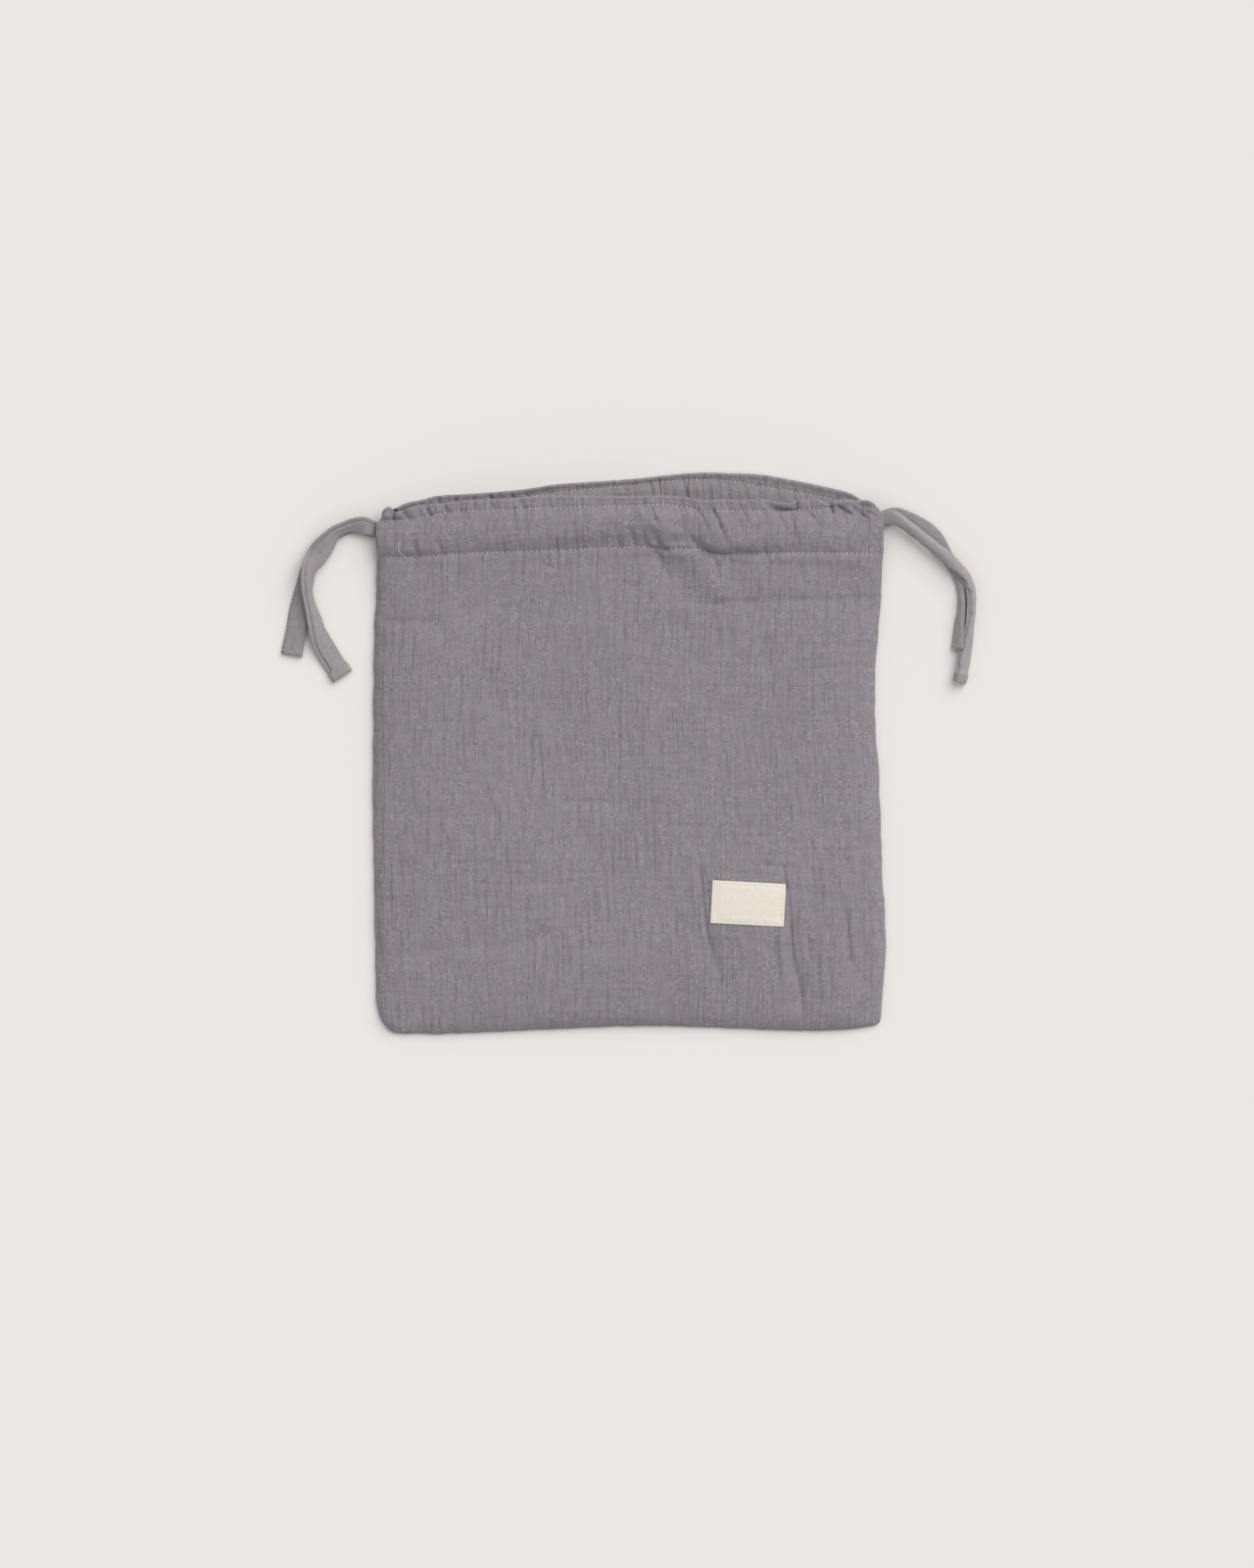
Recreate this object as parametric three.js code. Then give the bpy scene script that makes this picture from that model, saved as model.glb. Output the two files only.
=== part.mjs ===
// A small drawstring snack bag of double cotton gauze, lying flat on its back.
// Millimetres, +Z up, the mouth towards +Y. The origin is on the surface it lies on,
// under the middle of the bag without its loose ties.
import * as THREE from 'three';

// Cloth
const clothThickness = 1.0;
const layerGap = 0.3;
const seamHeight = 1.6;
const seamLips = { below: 0.3, above: 1.0 };
const seamClimb = 1.4;
const seamClimbsFrom = 26;
const seamClimbsTo = 3;
const endOpensOver = 4;
const hemTail = 2.5;
const foldRadius = 0.9;
const backCurlWidth = 2.0;

// Ties, folded strips of the same cloth
const heldWidth = 7.0;
const heldThickness = 1.2;
const tieEdgeRound = 0.8;
const narrowTieEdgeShare = 0.25;
const tieEdgeThicknessShare = 0.4;
const bendSteps = 4;

// Height of the bag: its side seam, its filled-out body, and the heading above the back panel
const seamRollWidth = 6.2;
const seamRollRise = 2.4;
const bodyRise = 6.0;
const bodyRiseLength = 20;
const hemHeightAtSides = 4.6;
const hemHeightRise = 4.8;
const hemArchPower = 4;
const casingRiseLength = 30;
const troughFade = 5;
const halfWidth = 125.5;

// The casing: two ties lie in it side by side, and cross once in each panel
const casingSlack = 0.2;
const casingRoom = heldThickness + 2 * layerGap + casingSlack;
const crossingRoom = heldThickness + layerGap;
const frontCrossing = { x: 28, flat: 28, ramp: 26 };
const backCrossing = { x: -60, flat: 28, ramp: 26 };
const casingSquareness = 14;
const hemSetBack = 6.5;
const hemSetBackReach = 20;

// Side edges of both panels, up the bag
const sideEdge = [
  { y: -140, left: -123.9, right: 124.2 },
  { y: -110, left: -124.4, right: 125.3 },
  { y: -92, left: -124.8, right: 125.7 },
  { y: -60, left: -125.2, right: 124.6 },
  { y: -15, left: -125.7, right: 123.2 },
  { y: 10, left: -125.7, right: 121.6 },
  { y: 33, left: -125.4, right: 120.7 },
  { y: 62, left: -125.2, right: 122.8 },
  { y: 81, left: -123.9, right: 124.3 },
  { y: 95, left: -124.3, right: 124.8 },
  { y: 108, left: -124.9, right: 125.2 },
  { y: 114, left: -123.9, right: 125.3 },
  { y: 121, left: -122.2, right: 125.3 },
];

// Bottom edge of both panels, from left to right
const bottomEdge = [
  { x: -126, y: -137.2 },
  { x: -98, y: -138.0 },
  { x: -66, y: -137.0 },
  { x: -37, y: -135.6 },
  { x: 0, y: -134.1 },
  { x: 35, y: -134.6 },
  { x: 78, y: -136.1 },
  { x: 107, y: -135.5 },
  { x: 126, y: -133.4 },
];

// Front panel: mouth edge and the two stitch lines of its casing
const frontMouth = [
  { x: -126, y: 120.3 },
  { x: -119, y: 120.5 },
  { x: -116, y: 120.1 },
  { x: -109, y: 121.2 },
  { x: -103, y: 122.2 },
  { x: -95, y: 122.2 },
  { x: -79, y: 124.0 },
  { x: -59, y: 125.0 },
  { x: -36, y: 126.3 },
  { x: 13, y: 126.4 },
  { x: 28, y: 125.1 },
  { x: 53, y: 124.5 },
  { x: 65, y: 125.0 },
  { x: 78, y: 123.5 },
  { x: 89, y: 124.6 },
  { x: 97, y: 122.7 },
  { x: 105, y: 124.6 },
  { x: 126, y: 124.5 },
];
const frontStitch = [
  { x: -126, low: 96.1, high: 115.6 },
  { x: -105, low: 96.2, high: 115.8 },
  { x: -89, low: 97.3, high: 117.5 },
  { x: -59, low: 98.7, high: 119.2 },
  { x: -29, low: 99.7, high: 120.4 },
  { x: 0, low: 100.9, high: 121.2 },
  { x: 14, low: 101.0, high: 121.6 },
  { x: 36, low: 99.6, high: 119.2 },
  { x: 58, low: 98.1, high: 118.9 },
  { x: 90, low: 98.0, high: 120.0 },
  { x: 126, low: 97.5, high: 121.6 },
];

// Back panel: its mouth edge lies further up than the front's
const backMouth = [
  { x: -126, y: 118.6 },
  { x: -109, y: 123.1 },
  { x: -95, y: 126.4 },
  { x: -66, y: 128.4 },
  { x: -37, y: 132.2 },
  { x: 6, y: 135.1 },
  { x: 35, y: 138.0 },
  { x: 64, y: 137.0 },
  { x: 93, y: 131.8 },
  { x: 107, y: 128.4 },
  { x: 126, y: 124.5 },
];
const backStitch = [
  { x: -126, low: 96.0, high: 115.0 },
  { x: -95, low: 101.6, high: 121.8 },
  { x: -66, low: 103.4, high: 124.0 },
  { x: -25, low: 108.4, high: 129.3 },
  { x: 8, low: 111.4, high: 132.2 },
  { x: 40, low: 113.0, high: 133.8 },
  { x: 67, low: 109.8, high: 130.6 },
  { x: 93, low: 105.4, high: 126.2 },
  { x: 126, low: 99.5, high: 120.3 },
];

// Where each tie lies across the casing: 0 at the lower stitch line, 1 at the upper one
const frontTiePlace = [
  { x: -126, left: 0.72, right: 0.27 },
  { x: -90, left: 0.69, right: 0.27 },
  { x: -2, left: 0.66, right: 0.27 },
  { x: 58, left: 0.27, right: 0.67 },
  { x: 95, left: 0.27, right: 0.72 },
  { x: 126, left: 0.27, right: 0.72 },
];
const backTiePlace = [
  { x: -126, left: 0.71, right: 0.27 },
  { x: -90, left: 0.67, right: 0.27 },
  { x: -30, left: 0.27, right: 0.66 },
  { x: 90, left: 0.27, right: 0.68 },
  { x: 126, left: 0.27, right: 0.74 },
];

// Rounded corners in plan, as radii
const frontCorners = { bottomLeft: 10, bottomRight: 7, topLeft: 5.5, topRight: 11 };
const backCorners = { bottomLeft: 10, bottomRight: 7, topLeft: 6, topRight: 11 };

// Main folds of the front panel, each a soft ridge or trough along a line
const frontFolds = [
  { x0: 28, y0: 99, x1: 45, y1: 80, rise: 1.3, width: 7 },
  { x0: 11, y0: 98, x1: 27, y1: 84, rise: -1.1, width: 6 },
  { x0: -104, y0: 103, x1: -104, y1: 92, rise: -0.9, width: 4 },
  { x0: 98, y0: 86, x1: 117, y1: 75, rise: -1.0, width: 8 },
  { x0: 26, y0: 76, x1: 119, y1: 71, rise: -0.8, width: 6 },
  { x0: -119, y0: 66, x1: -95, y1: 63, rise: -0.6, width: 6 },
  { x0: -64, y0: 26, x1: -39, y1: 26, rise: -0.5, width: 6 },
  { x0: -32, y0: -22, x1: 0, y1: -26, rise: -0.5, width: 6 },
  { x0: -121, y0: -99, x1: -40, y1: -90, rise: -0.8, width: 6 },
  { x0: 84, y0: -90, x1: 84, y1: -122, rise: -0.9, width: 5 },
  { x0: 100, y0: -56, x1: 100, y1: -120, rise: 0.8, width: 9 },
  { x0: 38, y0: -96, x1: 45, y1: -112, rise: -0.7, width: 6 },
  { x0: 110, y0: -83, x1: 117, y1: -128, rise: -0.7, width: 6 },
];

// Slow unevenness of the filled-out body: wave counts across and up the bag, and its rise
const bodyWaves = [
  { across: 2.3, up: 1.1, start: 0.6, rise: 0.45 },
  { across: -1.4, up: 2.7, start: 2.1, rise: 0.4 },
  { across: 4.6, up: -1.9, start: 4.0, rise: 0.3 },
];

// Puckers gathered into the front heading, from just below its stitch line to their full depth above it
const puckerStartsBelow = 2;
const puckerFullAbove = 3;
const headingPuckers = [
  { x: -116, width: 5.2, depth: 0.7 },
  { x: -107, width: 4.0, depth: 0.5 },
  { x: -96, width: 3.4, depth: 0.9 },
  { x: 20, width: 6.0, depth: 0.4 },
  { x: 77, width: 7.0, depth: 1.5 },
  { x: 98, width: 4.0, depth: 1.1 },
  { x: 108, width: 3.4, depth: 1.0 },
];

// Sewn label: its centre, size and turn
const labelPlace = { x: 58.4, y: -73.8, width: 36, height: 21, turn: -3, lift: 0.1, columns: 8, rows: 5 };

// Loose ends of the ties, from the casing outwards. tilt raises the outer edge, in degrees,
// and lift is the height above simply lying on the surface.
const leftTailFront = [
  { x: -124.3, y: 110.1, width: 7.0, thickness: 1.2, tilt: 0, lift: 5.43 },
  { x: -127.4, y: 110.8, width: 8.0, thickness: 1.3, tilt: 10, lift: 4.2 },
  { x: -131.0, y: 111.7, width: 9.6, thickness: 1.5, tilt: 28, lift: 2.4 },
  { x: -135.8, y: 111.7, width: 8.6, thickness: 1.6, tilt: 40, lift: 1.9 },
  { x: -139.0, y: 110.9, width: 7.4, thickness: 1.9, tilt: 44, lift: 1.9 },
  { x: -144.8, y: 107.9, width: 8.2, thickness: 1.7, tilt: 40, lift: 1.9 },
  { x: -149.4, y: 102.3, width: 10.2, thickness: 1.6, tilt: 22, lift: 2.2 },
  { x: -153.8, y: 96.3, width: 10.4, thickness: 1.6, tilt: 10, lift: 2.3 },
  { x: -156.9, y: 90.8, width: 9.0, thickness: 1.6, tilt: 38, lift: 2.1 },
  { x: -157.9, y: 83.7, width: 7.8, thickness: 1.8, tilt: 44, lift: 2.0 },
  { x: -157.9, y: 78.9, width: 6.8, thickness: 2.0, tilt: 48, lift: 1.8 },
  { x: -156.9, y: 74.0, width: 7.0, thickness: 2.0, tilt: 47, lift: 1.1 },
  { x: -154.9, y: 67.1, width: 8.2, thickness: 1.8, tilt: 41, lift: 0.3 },
  { x: -152.8, y: 59.1, width: 9.6, thickness: 1.6, tilt: 30, lift: 0.1 },
  { x: -149.9, y: 52.4, width: 10.4, thickness: 1.6, tilt: 12, lift: 0.1 },
  { x: -146.1, y: 45.9, width: 10.4, thickness: 1.6, tilt: 5, lift: 0.1 },
  { x: -140.6, y: 37.7, width: 10.4, thickness: 1.8, tilt: 3, lift: 0.1 },
];
const leftTailBack = [
  { x: -124.3, y: 109.5, width: 7.0, thickness: 1.2, tilt: 0, lift: 1.3 },
  { x: -127.6, y: 110.4, width: 7.4, thickness: 1.3, tilt: 5, lift: 0.7 },
  { x: -131.4, y: 112.3, width: 7.4, thickness: 1.4, tilt: 14, lift: 0.2 },
  { x: -135.9, y: 112.5, width: 7.0, thickness: 1.4, tilt: 20, lift: 0.1 },
  { x: -139.4, y: 111.6, width: 6.6, thickness: 1.4, tilt: 22, lift: 0.1 },
  { x: -145.3, y: 108.7, width: 6.8, thickness: 1.4, tilt: 18, lift: 0.1 },
  { x: -150.2, y: 102.8, width: 7.0, thickness: 1.4, tilt: 9, lift: 0.1 },
  { x: -154.6, y: 96.6, width: 7.0, thickness: 1.4, tilt: 4, lift: 0.1 },
  { x: -157.8, y: 90.9, width: 7.2, thickness: 1.4, tilt: 3, lift: 0.1 },
  { x: -159.3, y: 84.1, width: 8.0, thickness: 1.4, tilt: 3, lift: 0.1 },
  { x: -161.0, y: 77.1, width: 8.8, thickness: 1.5, tilt: 4, lift: 0.1 },
  { x: -162.4, y: 68.9, width: 9.6, thickness: 1.5, tilt: 5, lift: 0.1 },
  { x: -163.3, y: 61.4, width: 10.2, thickness: 1.6, tilt: 4, lift: 0.1 },
  { x: -164.5, y: 55.2, width: 10.4, thickness: 1.6, tilt: 3, lift: 0.1 },
  { x: -165.8, y: 48.1, width: 10.6, thickness: 1.8, tilt: 2, lift: 0.1 },
];
const rightTailFront = [
  { x: 121.9, y: 114.8, width: 7.0, thickness: 1.2, tilt: 0, lift: 5.85 },
  { x: 125.4, y: 115.2, width: 7.4, thickness: 1.3, tilt: 6, lift: 4.6 },
  { x: 129.3, y: 115.4, width: 8.6, thickness: 1.8, tilt: 32, lift: 2.8 },
  { x: 132.6, y: 114.1, width: 7.6, thickness: 2.2, tilt: 40, lift: 1.9 },
  { x: 138.3, y: 110.3, width: 6.6, thickness: 2.5, tilt: 45, lift: 1.3 },
  { x: 142.9, y: 106.7, width: 6.4, thickness: 2.6, tilt: 44, lift: 1.2 },
  { x: 151.3, y: 99.7, width: 6.6, thickness: 2.6, tilt: 38, lift: 1.4 },
  { x: 155.8, y: 96.2, width: 6.6, thickness: 2.6, tilt: 28, lift: 2.1 },
  { x: 160.2, y: 92.1, width: 6.2, thickness: 2.6, tilt: 12, lift: 2.5 },
  { x: 165.2, y: 86.9, width: 5.8, thickness: 2.6, tilt: -10, lift: 2.3 },
  { x: 168.1, y: 81.1, width: 5.6, thickness: 2.6, tilt: -32, lift: 0.8 },
  { x: 168.7, y: 74.9, width: 5.4, thickness: 2.5, tilt: -42, lift: 0.2 },
  { x: 168.1, y: 67.2, width: 5.2, thickness: 2.5, tilt: -46, lift: 0.1 },
  { x: 167.3, y: 60.7, width: 5.6, thickness: 2.4, tilt: -41, lift: 0.1 },
  { x: 166.4, y: 54.2, width: 6.4, thickness: 2.2, tilt: -34, lift: 0.1 },
  { x: 164.9, y: 45.9, width: 7.6, thickness: 2.0, tilt: -28, lift: 0.1 },
  { x: 163.5, y: 38.1, width: 7.6, thickness: 2.0, tilt: -30, lift: 0.1 },
  { x: 162.8, y: 34.6, width: 7.2, thickness: 2.0, tilt: -32, lift: 0.1 },
];
const rightTailBack = [
  { x: 122.4, y: 114.9, width: 7.0, thickness: 1.2, tilt: 0, lift: 1.3 },
  { x: 126.6, y: 116.0, width: 7.2, thickness: 1.2, tilt: 2, lift: 1.0 },
  { x: 131.0, y: 117.0, width: 7.6, thickness: 1.5, tilt: 14, lift: 0.2 },
  { x: 136.5, y: 115.4, width: 7.4, thickness: 1.5, tilt: 16, lift: 0.1 },
  { x: 141.8, y: 112.7, width: 7.4, thickness: 1.5, tilt: 14, lift: 0.1 },
  { x: 146.8, y: 109.4, width: 7.8, thickness: 1.5, tilt: 11, lift: 0.1 },
  { x: 151.2, y: 104.6, width: 7.8, thickness: 1.5, tilt: 8, lift: 0.1 },
  { x: 155.0, y: 98.6, width: 7.0, thickness: 1.5, tilt: 4, lift: 0.1 },
  { x: 158.4, y: 92.9, width: 6.0, thickness: 1.5, tilt: 2, lift: 0.1 },
  { x: 161.0, y: 87.6, width: 5.2, thickness: 1.6, tilt: -14, lift: 0.1 },
  { x: 162.6, y: 82.0, width: 4.8, thickness: 1.6, tilt: -42, lift: 0.1 },
  { x: 163.2, y: 76.0, width: 5.0, thickness: 1.6, tilt: -52, lift: 0.1 },
  { x: 163.0, y: 69.5, width: 5.8, thickness: 1.5, tilt: -46, lift: 0.1 },
  { x: 162.3, y: 63.5, width: 6.8, thickness: 1.5, tilt: -40, lift: 0.1 },
  { x: 161.9, y: 57.5, width: 7.2, thickness: 1.6, tilt: -40, lift: 0.1 },
  { x: 161.5, y: 51.0, width: 7.4, thickness: 1.6, tilt: -38, lift: 0.1 },
];
const tailStepsPerPoint = 2;

// Steps of the panels' meshes: distances in from an edge, and shares of the height between lines
const edgeSteps = [0, 0.4, 1.4, 3.2, 6.2, 11];
const bodyShares = [0.09, 0.15, 0.22, 0.31, 0.41, 0.52, 0.63, 0.73, 0.81, 0.88, 0.94];
const backBodyShares = [0.2, 0.5, 0.8, 0.9, 0.95];
const raisedShares = [0, 0.03, 0.1, 0.3, 0.5, 0.7, 0.9, 0.97, 1];
const flatShares = [0, 0.5, 1];
const backEdgeSteps = [0, 0.4, 1.0, 2.0, 4.5, 11];
const foldSteps = 3;
const frontColumnStep = 8;
const closestColumns = 0.4;
const backColumnStep = 13;
const heldStep = 9;
const heldInset = { exitLeft: -124.0, exitRight: 121.6, backExitRight: 122.0, wrap: 119.6 };

const colours = { cloth: '#87818a', tie: '#918b8f', label: '#e7dfd1' };

function clothMaterial(name, colour) {
  return new THREE.MeshStandardMaterial({ name, color: colour, roughness: 0.95, metalness: 0 });
}

// Reads one column of a table at any place, as a smooth curve through its rows
function column(table, at, name) {
  return (value) => {
    const last = table.length - 1;
    if (value <= table[0][at]) return table[0][name];
    if (value >= table[last][at]) return table[last][name];
    const i = table.findIndex((row) => row[at] > value) - 1;
    const [before, start, end, after] = [i - 1, i, i + 1, i + 2].map(
      (k) => table[THREE.MathUtils.clamp(k, 0, last)],
    );
    const span = end[at] - start[at];
    const slope = (a, b) => (b[name] - a[name]) / (b[at] - a[at]);
    const t = (value - start[at]) / span;
    const startSlope = slope(before, end) * span;
    const endSlope = slope(start, after) * span;
    const t2 = t * t;
    const t3 = t2 * t;
    return (2 * t3 - 3 * t2 + 1) * start[name] + (t3 - 2 * t2 + t) * startSlope
      + (3 * t2 - 2 * t3) * end[name] + (t3 - t2) * endSlope;
  };
}

const leftOf = column(sideEdge, 'y', 'left');
const rightOf = column(sideEdge, 'y', 'right');
const bottomOf = column(bottomEdge, 'x', 'y');

const front = {
  mouth: column(frontMouth, 'x', 'y'),
  low: column(frontStitch, 'x', 'low'),
  high: column(frontStitch, 'x', 'high'),
  corners: frontCorners,
  crossing: frontCrossing,
  tiePlace: frontTiePlace,
};
const back = {
  mouth: column(backMouth, 'x', 'y'),
  low: column(backStitch, 'x', 'low'),
  high: column(backStitch, 'x', 'high'),
  corners: backCorners,
  crossing: backCrossing,
  tiePlace: backTiePlace,
};

const smooth = THREE.MathUtils.smoothstep;
const mix = THREE.MathUtils.lerp;

// Extra height of the casing where one tie crosses over the other
function crossingShare(panel, x) {
  const { x: middle, flat, ramp } = panel.crossing;
  return 1 - smooth(Math.abs(x - middle), flat, flat + ramp);
}

// Full height of the casing between its stitch lines, from 0 at each line to 1
function casingShare(share) {
  return share <= 0 || share >= 1 ? 0 : 1 - Math.abs(2 * share - 1) ** casingSquareness;
}

function layerSpacing(panel, x, share) {
  const room = casingRoom - layerGap + crossingRoom * crossingShare(panel, x);
  return clothThickness + layerGap + room * casingShare(share);
}

// Middle height of the front panel's hem layer, an arch over the open mouth
function hemHeight(x) {
  const outwards = Math.min(1, Math.abs(x) / halfWidth);
  return hemHeightAtSides + hemHeightRise * (1 - outwards ** hemArchPower);
}

function puckerDepth(x) {
  return headingPuckers.reduce(
    (sum, fold) => sum + fold.depth * Math.exp(-(((x - fold.x) / (fold.width / 2)) ** 2)),
    0,
  );
}

function foldRise(x, y) {
  return frontFolds.reduce((sum, fold) => {
    const dx = fold.x1 - fold.x0;
    const dy = fold.y1 - fold.y0;
    const length = Math.hypot(dx, dy);
    const along = ((x - fold.x0) * dx + (y - fold.y0) * dy) / (length * length);
    const across = ((x - fold.x0) * dy - (y - fold.y0) * dx) / length;
    const past = Math.max(0, -along, along - 1) * length;
    const fade = Math.exp(-((past / fold.width) ** 2)) * Math.exp(-((across / fold.width) ** 2));
    return sum + fold.rise * fade;
  }, 0);
}

// Distances in from the cloth's middle line at the three closed edges
function insets(x, y) {
  return {
    left: x - leftOf(y) - clothThickness / 2,
    right: rightOf(y) - x - clothThickness / 2,
    bottom: y - bottomOf(x) - clothThickness / 2,
  };
}

function waveRise(x, y) {
  const turn = Math.PI / halfWidth;
  return bodyWaves.reduce(
    (sum, wave) => sum + wave.rise * Math.sin(turn * (wave.across * x + wave.up * y) + wave.start),
    0,
  );
}

function roll(distance, width) {
  const share = THREE.MathUtils.clamp(distance / width, 0, 1);
  return Math.sqrt(1 - (1 - share) ** 2);
}

// Height of the side seam on each panel: it climbs a little before the casing's open end
function seamRise(y, stitch) {
  return seamHeight + seamClimb * smooth(y, stitch - seamClimbsFrom, stitch - seamClimbsTo);
}

function frontRim(y, stitch) {
  const openEnd = hemHeightAtSides + clothThickness + casingRoom + layerGap;
  const opening = smooth(y, stitch - seamClimbsTo, stitch + endOpensOver);
  return mix(seamRise(y, stitch) + seamLips.above, openEnd, opening);
}

function backRim(y, stitch) {
  const opening = smooth(y, stitch - seamClimbsTo, stitch + endOpensOver);
  return mix(seamRise(y, stitch) - seamLips.below, clothThickness / 2, opening);
}

// Middle height of the front panel's outer layer
function frontHeight(x, y) {
  const low = front.low(x);
  const { left, right, bottom } = insets(x, y);
  const filled = (d) => 1 - Math.exp(-Math.max(d, 0) / bodyRiseLength);
  const rise = filled(left) * filled(right) * filled(bottom);
  const body = seamHeight + seamRollRise + (bodyRise + waveRise(x, y)) * rise;
  const share = (y - low) / (front.high(x) - low);
  const casing = hemHeight(x) + layerSpacing(front, x, share);
  const fold = foldRise(x, y);
  const kept = fold > 0 ? 1 : 1 - smooth(y, low - troughFade, low);
  const top = mix(body, casing, smooth(y, low - casingRiseLength, low)) + fold * kept;
  const rolled = roll(left, seamRollWidth) * roll(right, seamRollWidth) * roll(bottom, seamRollWidth);
  const rim = frontRim(y, low);
  return rim + (top - rim) * rolled;
}

function backHeight(x, y) {
  const { left, right, bottom } = insets(x, y);
  const inside = Math.min(left, right, bottom);
  const curl = 1 - roll(inside, backCurlWidth);
  return clothThickness / 2 + curl * (backRim(y, back.low(x)) - clothThickness / 2);
}

// Turns square plan corners into rounded ones
function roundCorners(point, panel) {
  const { x, y } = point;
  const sides = [
    { name: 'Left', inside: x - leftOf(y), sign: 1 },
    { name: 'Right', inside: rightOf(y) - x, sign: -1 },
  ];
  const ends = [
    { name: 'bottom', inside: y - bottomOf(x), sign: 1 },
    { name: 'top', inside: panel.mouth(x) - y, sign: -1 },
  ];
  for (const side of sides) {
    for (const end of ends) {
      const radius = panel.corners[end.name + side.name];
      if (side.inside >= radius || end.inside >= radius) continue;
      const a = 1 - side.inside / radius;
      const b = 1 - end.inside / radius;
      point.x += side.sign * radius * (a - a * Math.sqrt(1 - (b * b) / 2));
      point.y += end.sign * radius * (b - b * Math.sqrt(1 - (a * a) / 2));
    }
  }
  return point;
}

// Closed solid of a cloth whose middle surface is a grid of points, rows by columns
function clothSolid(grid, thickness) {
  const rows = grid.length;
  const columns = grid[0].length;
  const within = (i, count) => THREE.MathUtils.clamp(i, 0, count - 1);
  const at = (r, c) => grid[within(r, rows)][within(c, columns)];
  const positions = [];
  for (const side of [1, -1]) {
    for (let r = 0; r < rows; r += 1) {
      for (let c = 0; c < columns; c += 1) {
        const along = at(r + 1, c).clone().sub(at(r - 1, c)).normalize();
        const across = at(r, c + 1).clone().sub(at(r, c - 1)).normalize();
        const normal = across.cross(along).normalize();
        positions.push(...at(r, c).clone().addScaledVector(normal, (side * thickness) / 2));
      }
    }
  }
  const id = (side, r, c) => side * rows * columns + r * columns + c;
  const triangles = [];
  const quad = (a, b, c, d) => triangles.push(a, b, c, a, c, d);
  for (let r = 0; r < rows - 1; r += 1) {
    for (let c = 0; c < columns - 1; c += 1) {
      quad(id(0, r, c), id(0, r, c + 1), id(0, r + 1, c + 1), id(0, r + 1, c));
      quad(id(1, r, c), id(1, r + 1, c), id(1, r + 1, c + 1), id(1, r, c + 1));
    }
  }
  for (let c = 0; c < columns - 1; c += 1) {
    quad(id(0, 0, c), id(1, 0, c), id(1, 0, c + 1), id(0, 0, c + 1));
    quad(id(0, rows - 1, c + 1), id(1, rows - 1, c + 1), id(1, rows - 1, c), id(0, rows - 1, c));
  }
  const end = columns - 1;
  for (let r = 0; r < rows - 1; r += 1) {
    quad(id(0, r + 1, 0), id(1, r + 1, 0), id(1, r, 0), id(0, r, 0));
    quad(id(0, r, end), id(1, r, end), id(1, r + 1, end), id(0, r + 1, end));
  }
  return closedGeometry(positions, triangles);
}

function closedGeometry(positions, triangles) {
  const corner = (i) => new THREE.Vector3(...positions.slice(3 * i, 3 * i + 3));
  let volume = 0;
  for (let t = 0; t < triangles.length; t += 3) {
    const [a, b, c] = triangles.slice(t, t + 3).map(corner);
    volume += a.dot(b.cross(c)) / 6;
  }
  const faces = volume > 0 ? triangles : [...triangles].reverse();
  const geometry = new THREE.BufferGeometry();
  geometry.setAttribute('position', new THREE.Float32BufferAttribute(positions, 3));
  geometry.setIndex(faces);
  geometry.computeVertexNormals();
  return geometry;
}

// Places across a panel, measured on its middle line: close at the edges and at the puckers
function columnPlaces(steps, spacing, extra) {
  const inner = halfWidth - steps[steps.length - 1];
  const count = Math.round((2 * inner) / spacing);
  const regular = Array.from({ length: count + 1 }, (_, i) => mix(-inner, inner, i / count));
  const kept = regular.filter((x) => extra.every((place) => Math.abs(place - x) > closestColumns * spacing));
  const edges = steps.slice(0, -1);
  const all = [...edges.map((d) => d - halfWidth), ...kept, ...extra, ...edges.map((d) => halfWidth - d)];
  return all.sort((a, b) => a - b);
}

// Rows of one panel from the bottom seam, over the mouth and back down the hem
function panelRows(panel, steps, shares, outerShares, innerShares) {
  const casing = (s) => (x) => mix(panel.low(x), panel.high(x), s);
  const outer = [
    ...steps.map((d) => ({ layer: 'outer', y: (x) => bottomOf(x) + clothThickness / 2 + d })),
    ...shares.map((s) => ({ layer: 'outer', y: (x) => mix(bottomOf(x), panel.low(x), s) })),
    ...outerShares.map((s) => ({ layer: 'outer', y: casing(s) })),
  ];
  const foldCentre = (x) => panel.mouth(x) - clothThickness / 2 - foldRadius;
  const turns = Array.from({ length: foldSteps + 1 }, (_, i) => (Math.PI * i) / foldSteps);
  const fold = turns.map((angle) => ({ layer: 'fold', angle, y: foldCentre }));
  const inner = [
    ...innerShares.toReversed().map((s) => ({ layer: 'inner', y: casing(s) })),
    { layer: 'inner', y: (x) => panel.low(x) - hemTail },
  ];
  return [...outer, ...fold, ...inner];
}

// Moves the end columns in to the cloth's edge and, on the hem, further in to leave its end open
function acrossPanel(x0, y, setBack) {
  const left = leftOf(y) + clothThickness / 2;
  const right = rightOf(y) - clothThickness / 2;
  const place = (d) => setBack + (d * (hemSetBackReach - setBack)) / hemSetBackReach;
  const fromLeft = x0 + halfWidth;
  const fromRight = halfWidth - x0;
  if (fromLeft < hemSetBackReach) return left + place(fromLeft);
  if (fromRight < hemSetBackReach) return right - place(fromRight);
  const share = (fromLeft - hemSetBackReach) / (2 * (halfWidth - hemSetBackReach));
  return mix(left + hemSetBackReach, right - hemSetBackReach, share);
}

function setBackOf(row) {
  if (row.layer === 'fold') return (hemSetBack * (1 - Math.cos(row.angle))) / 2;
  return row.layer === 'inner' ? hemSetBack : 0;
}

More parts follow.
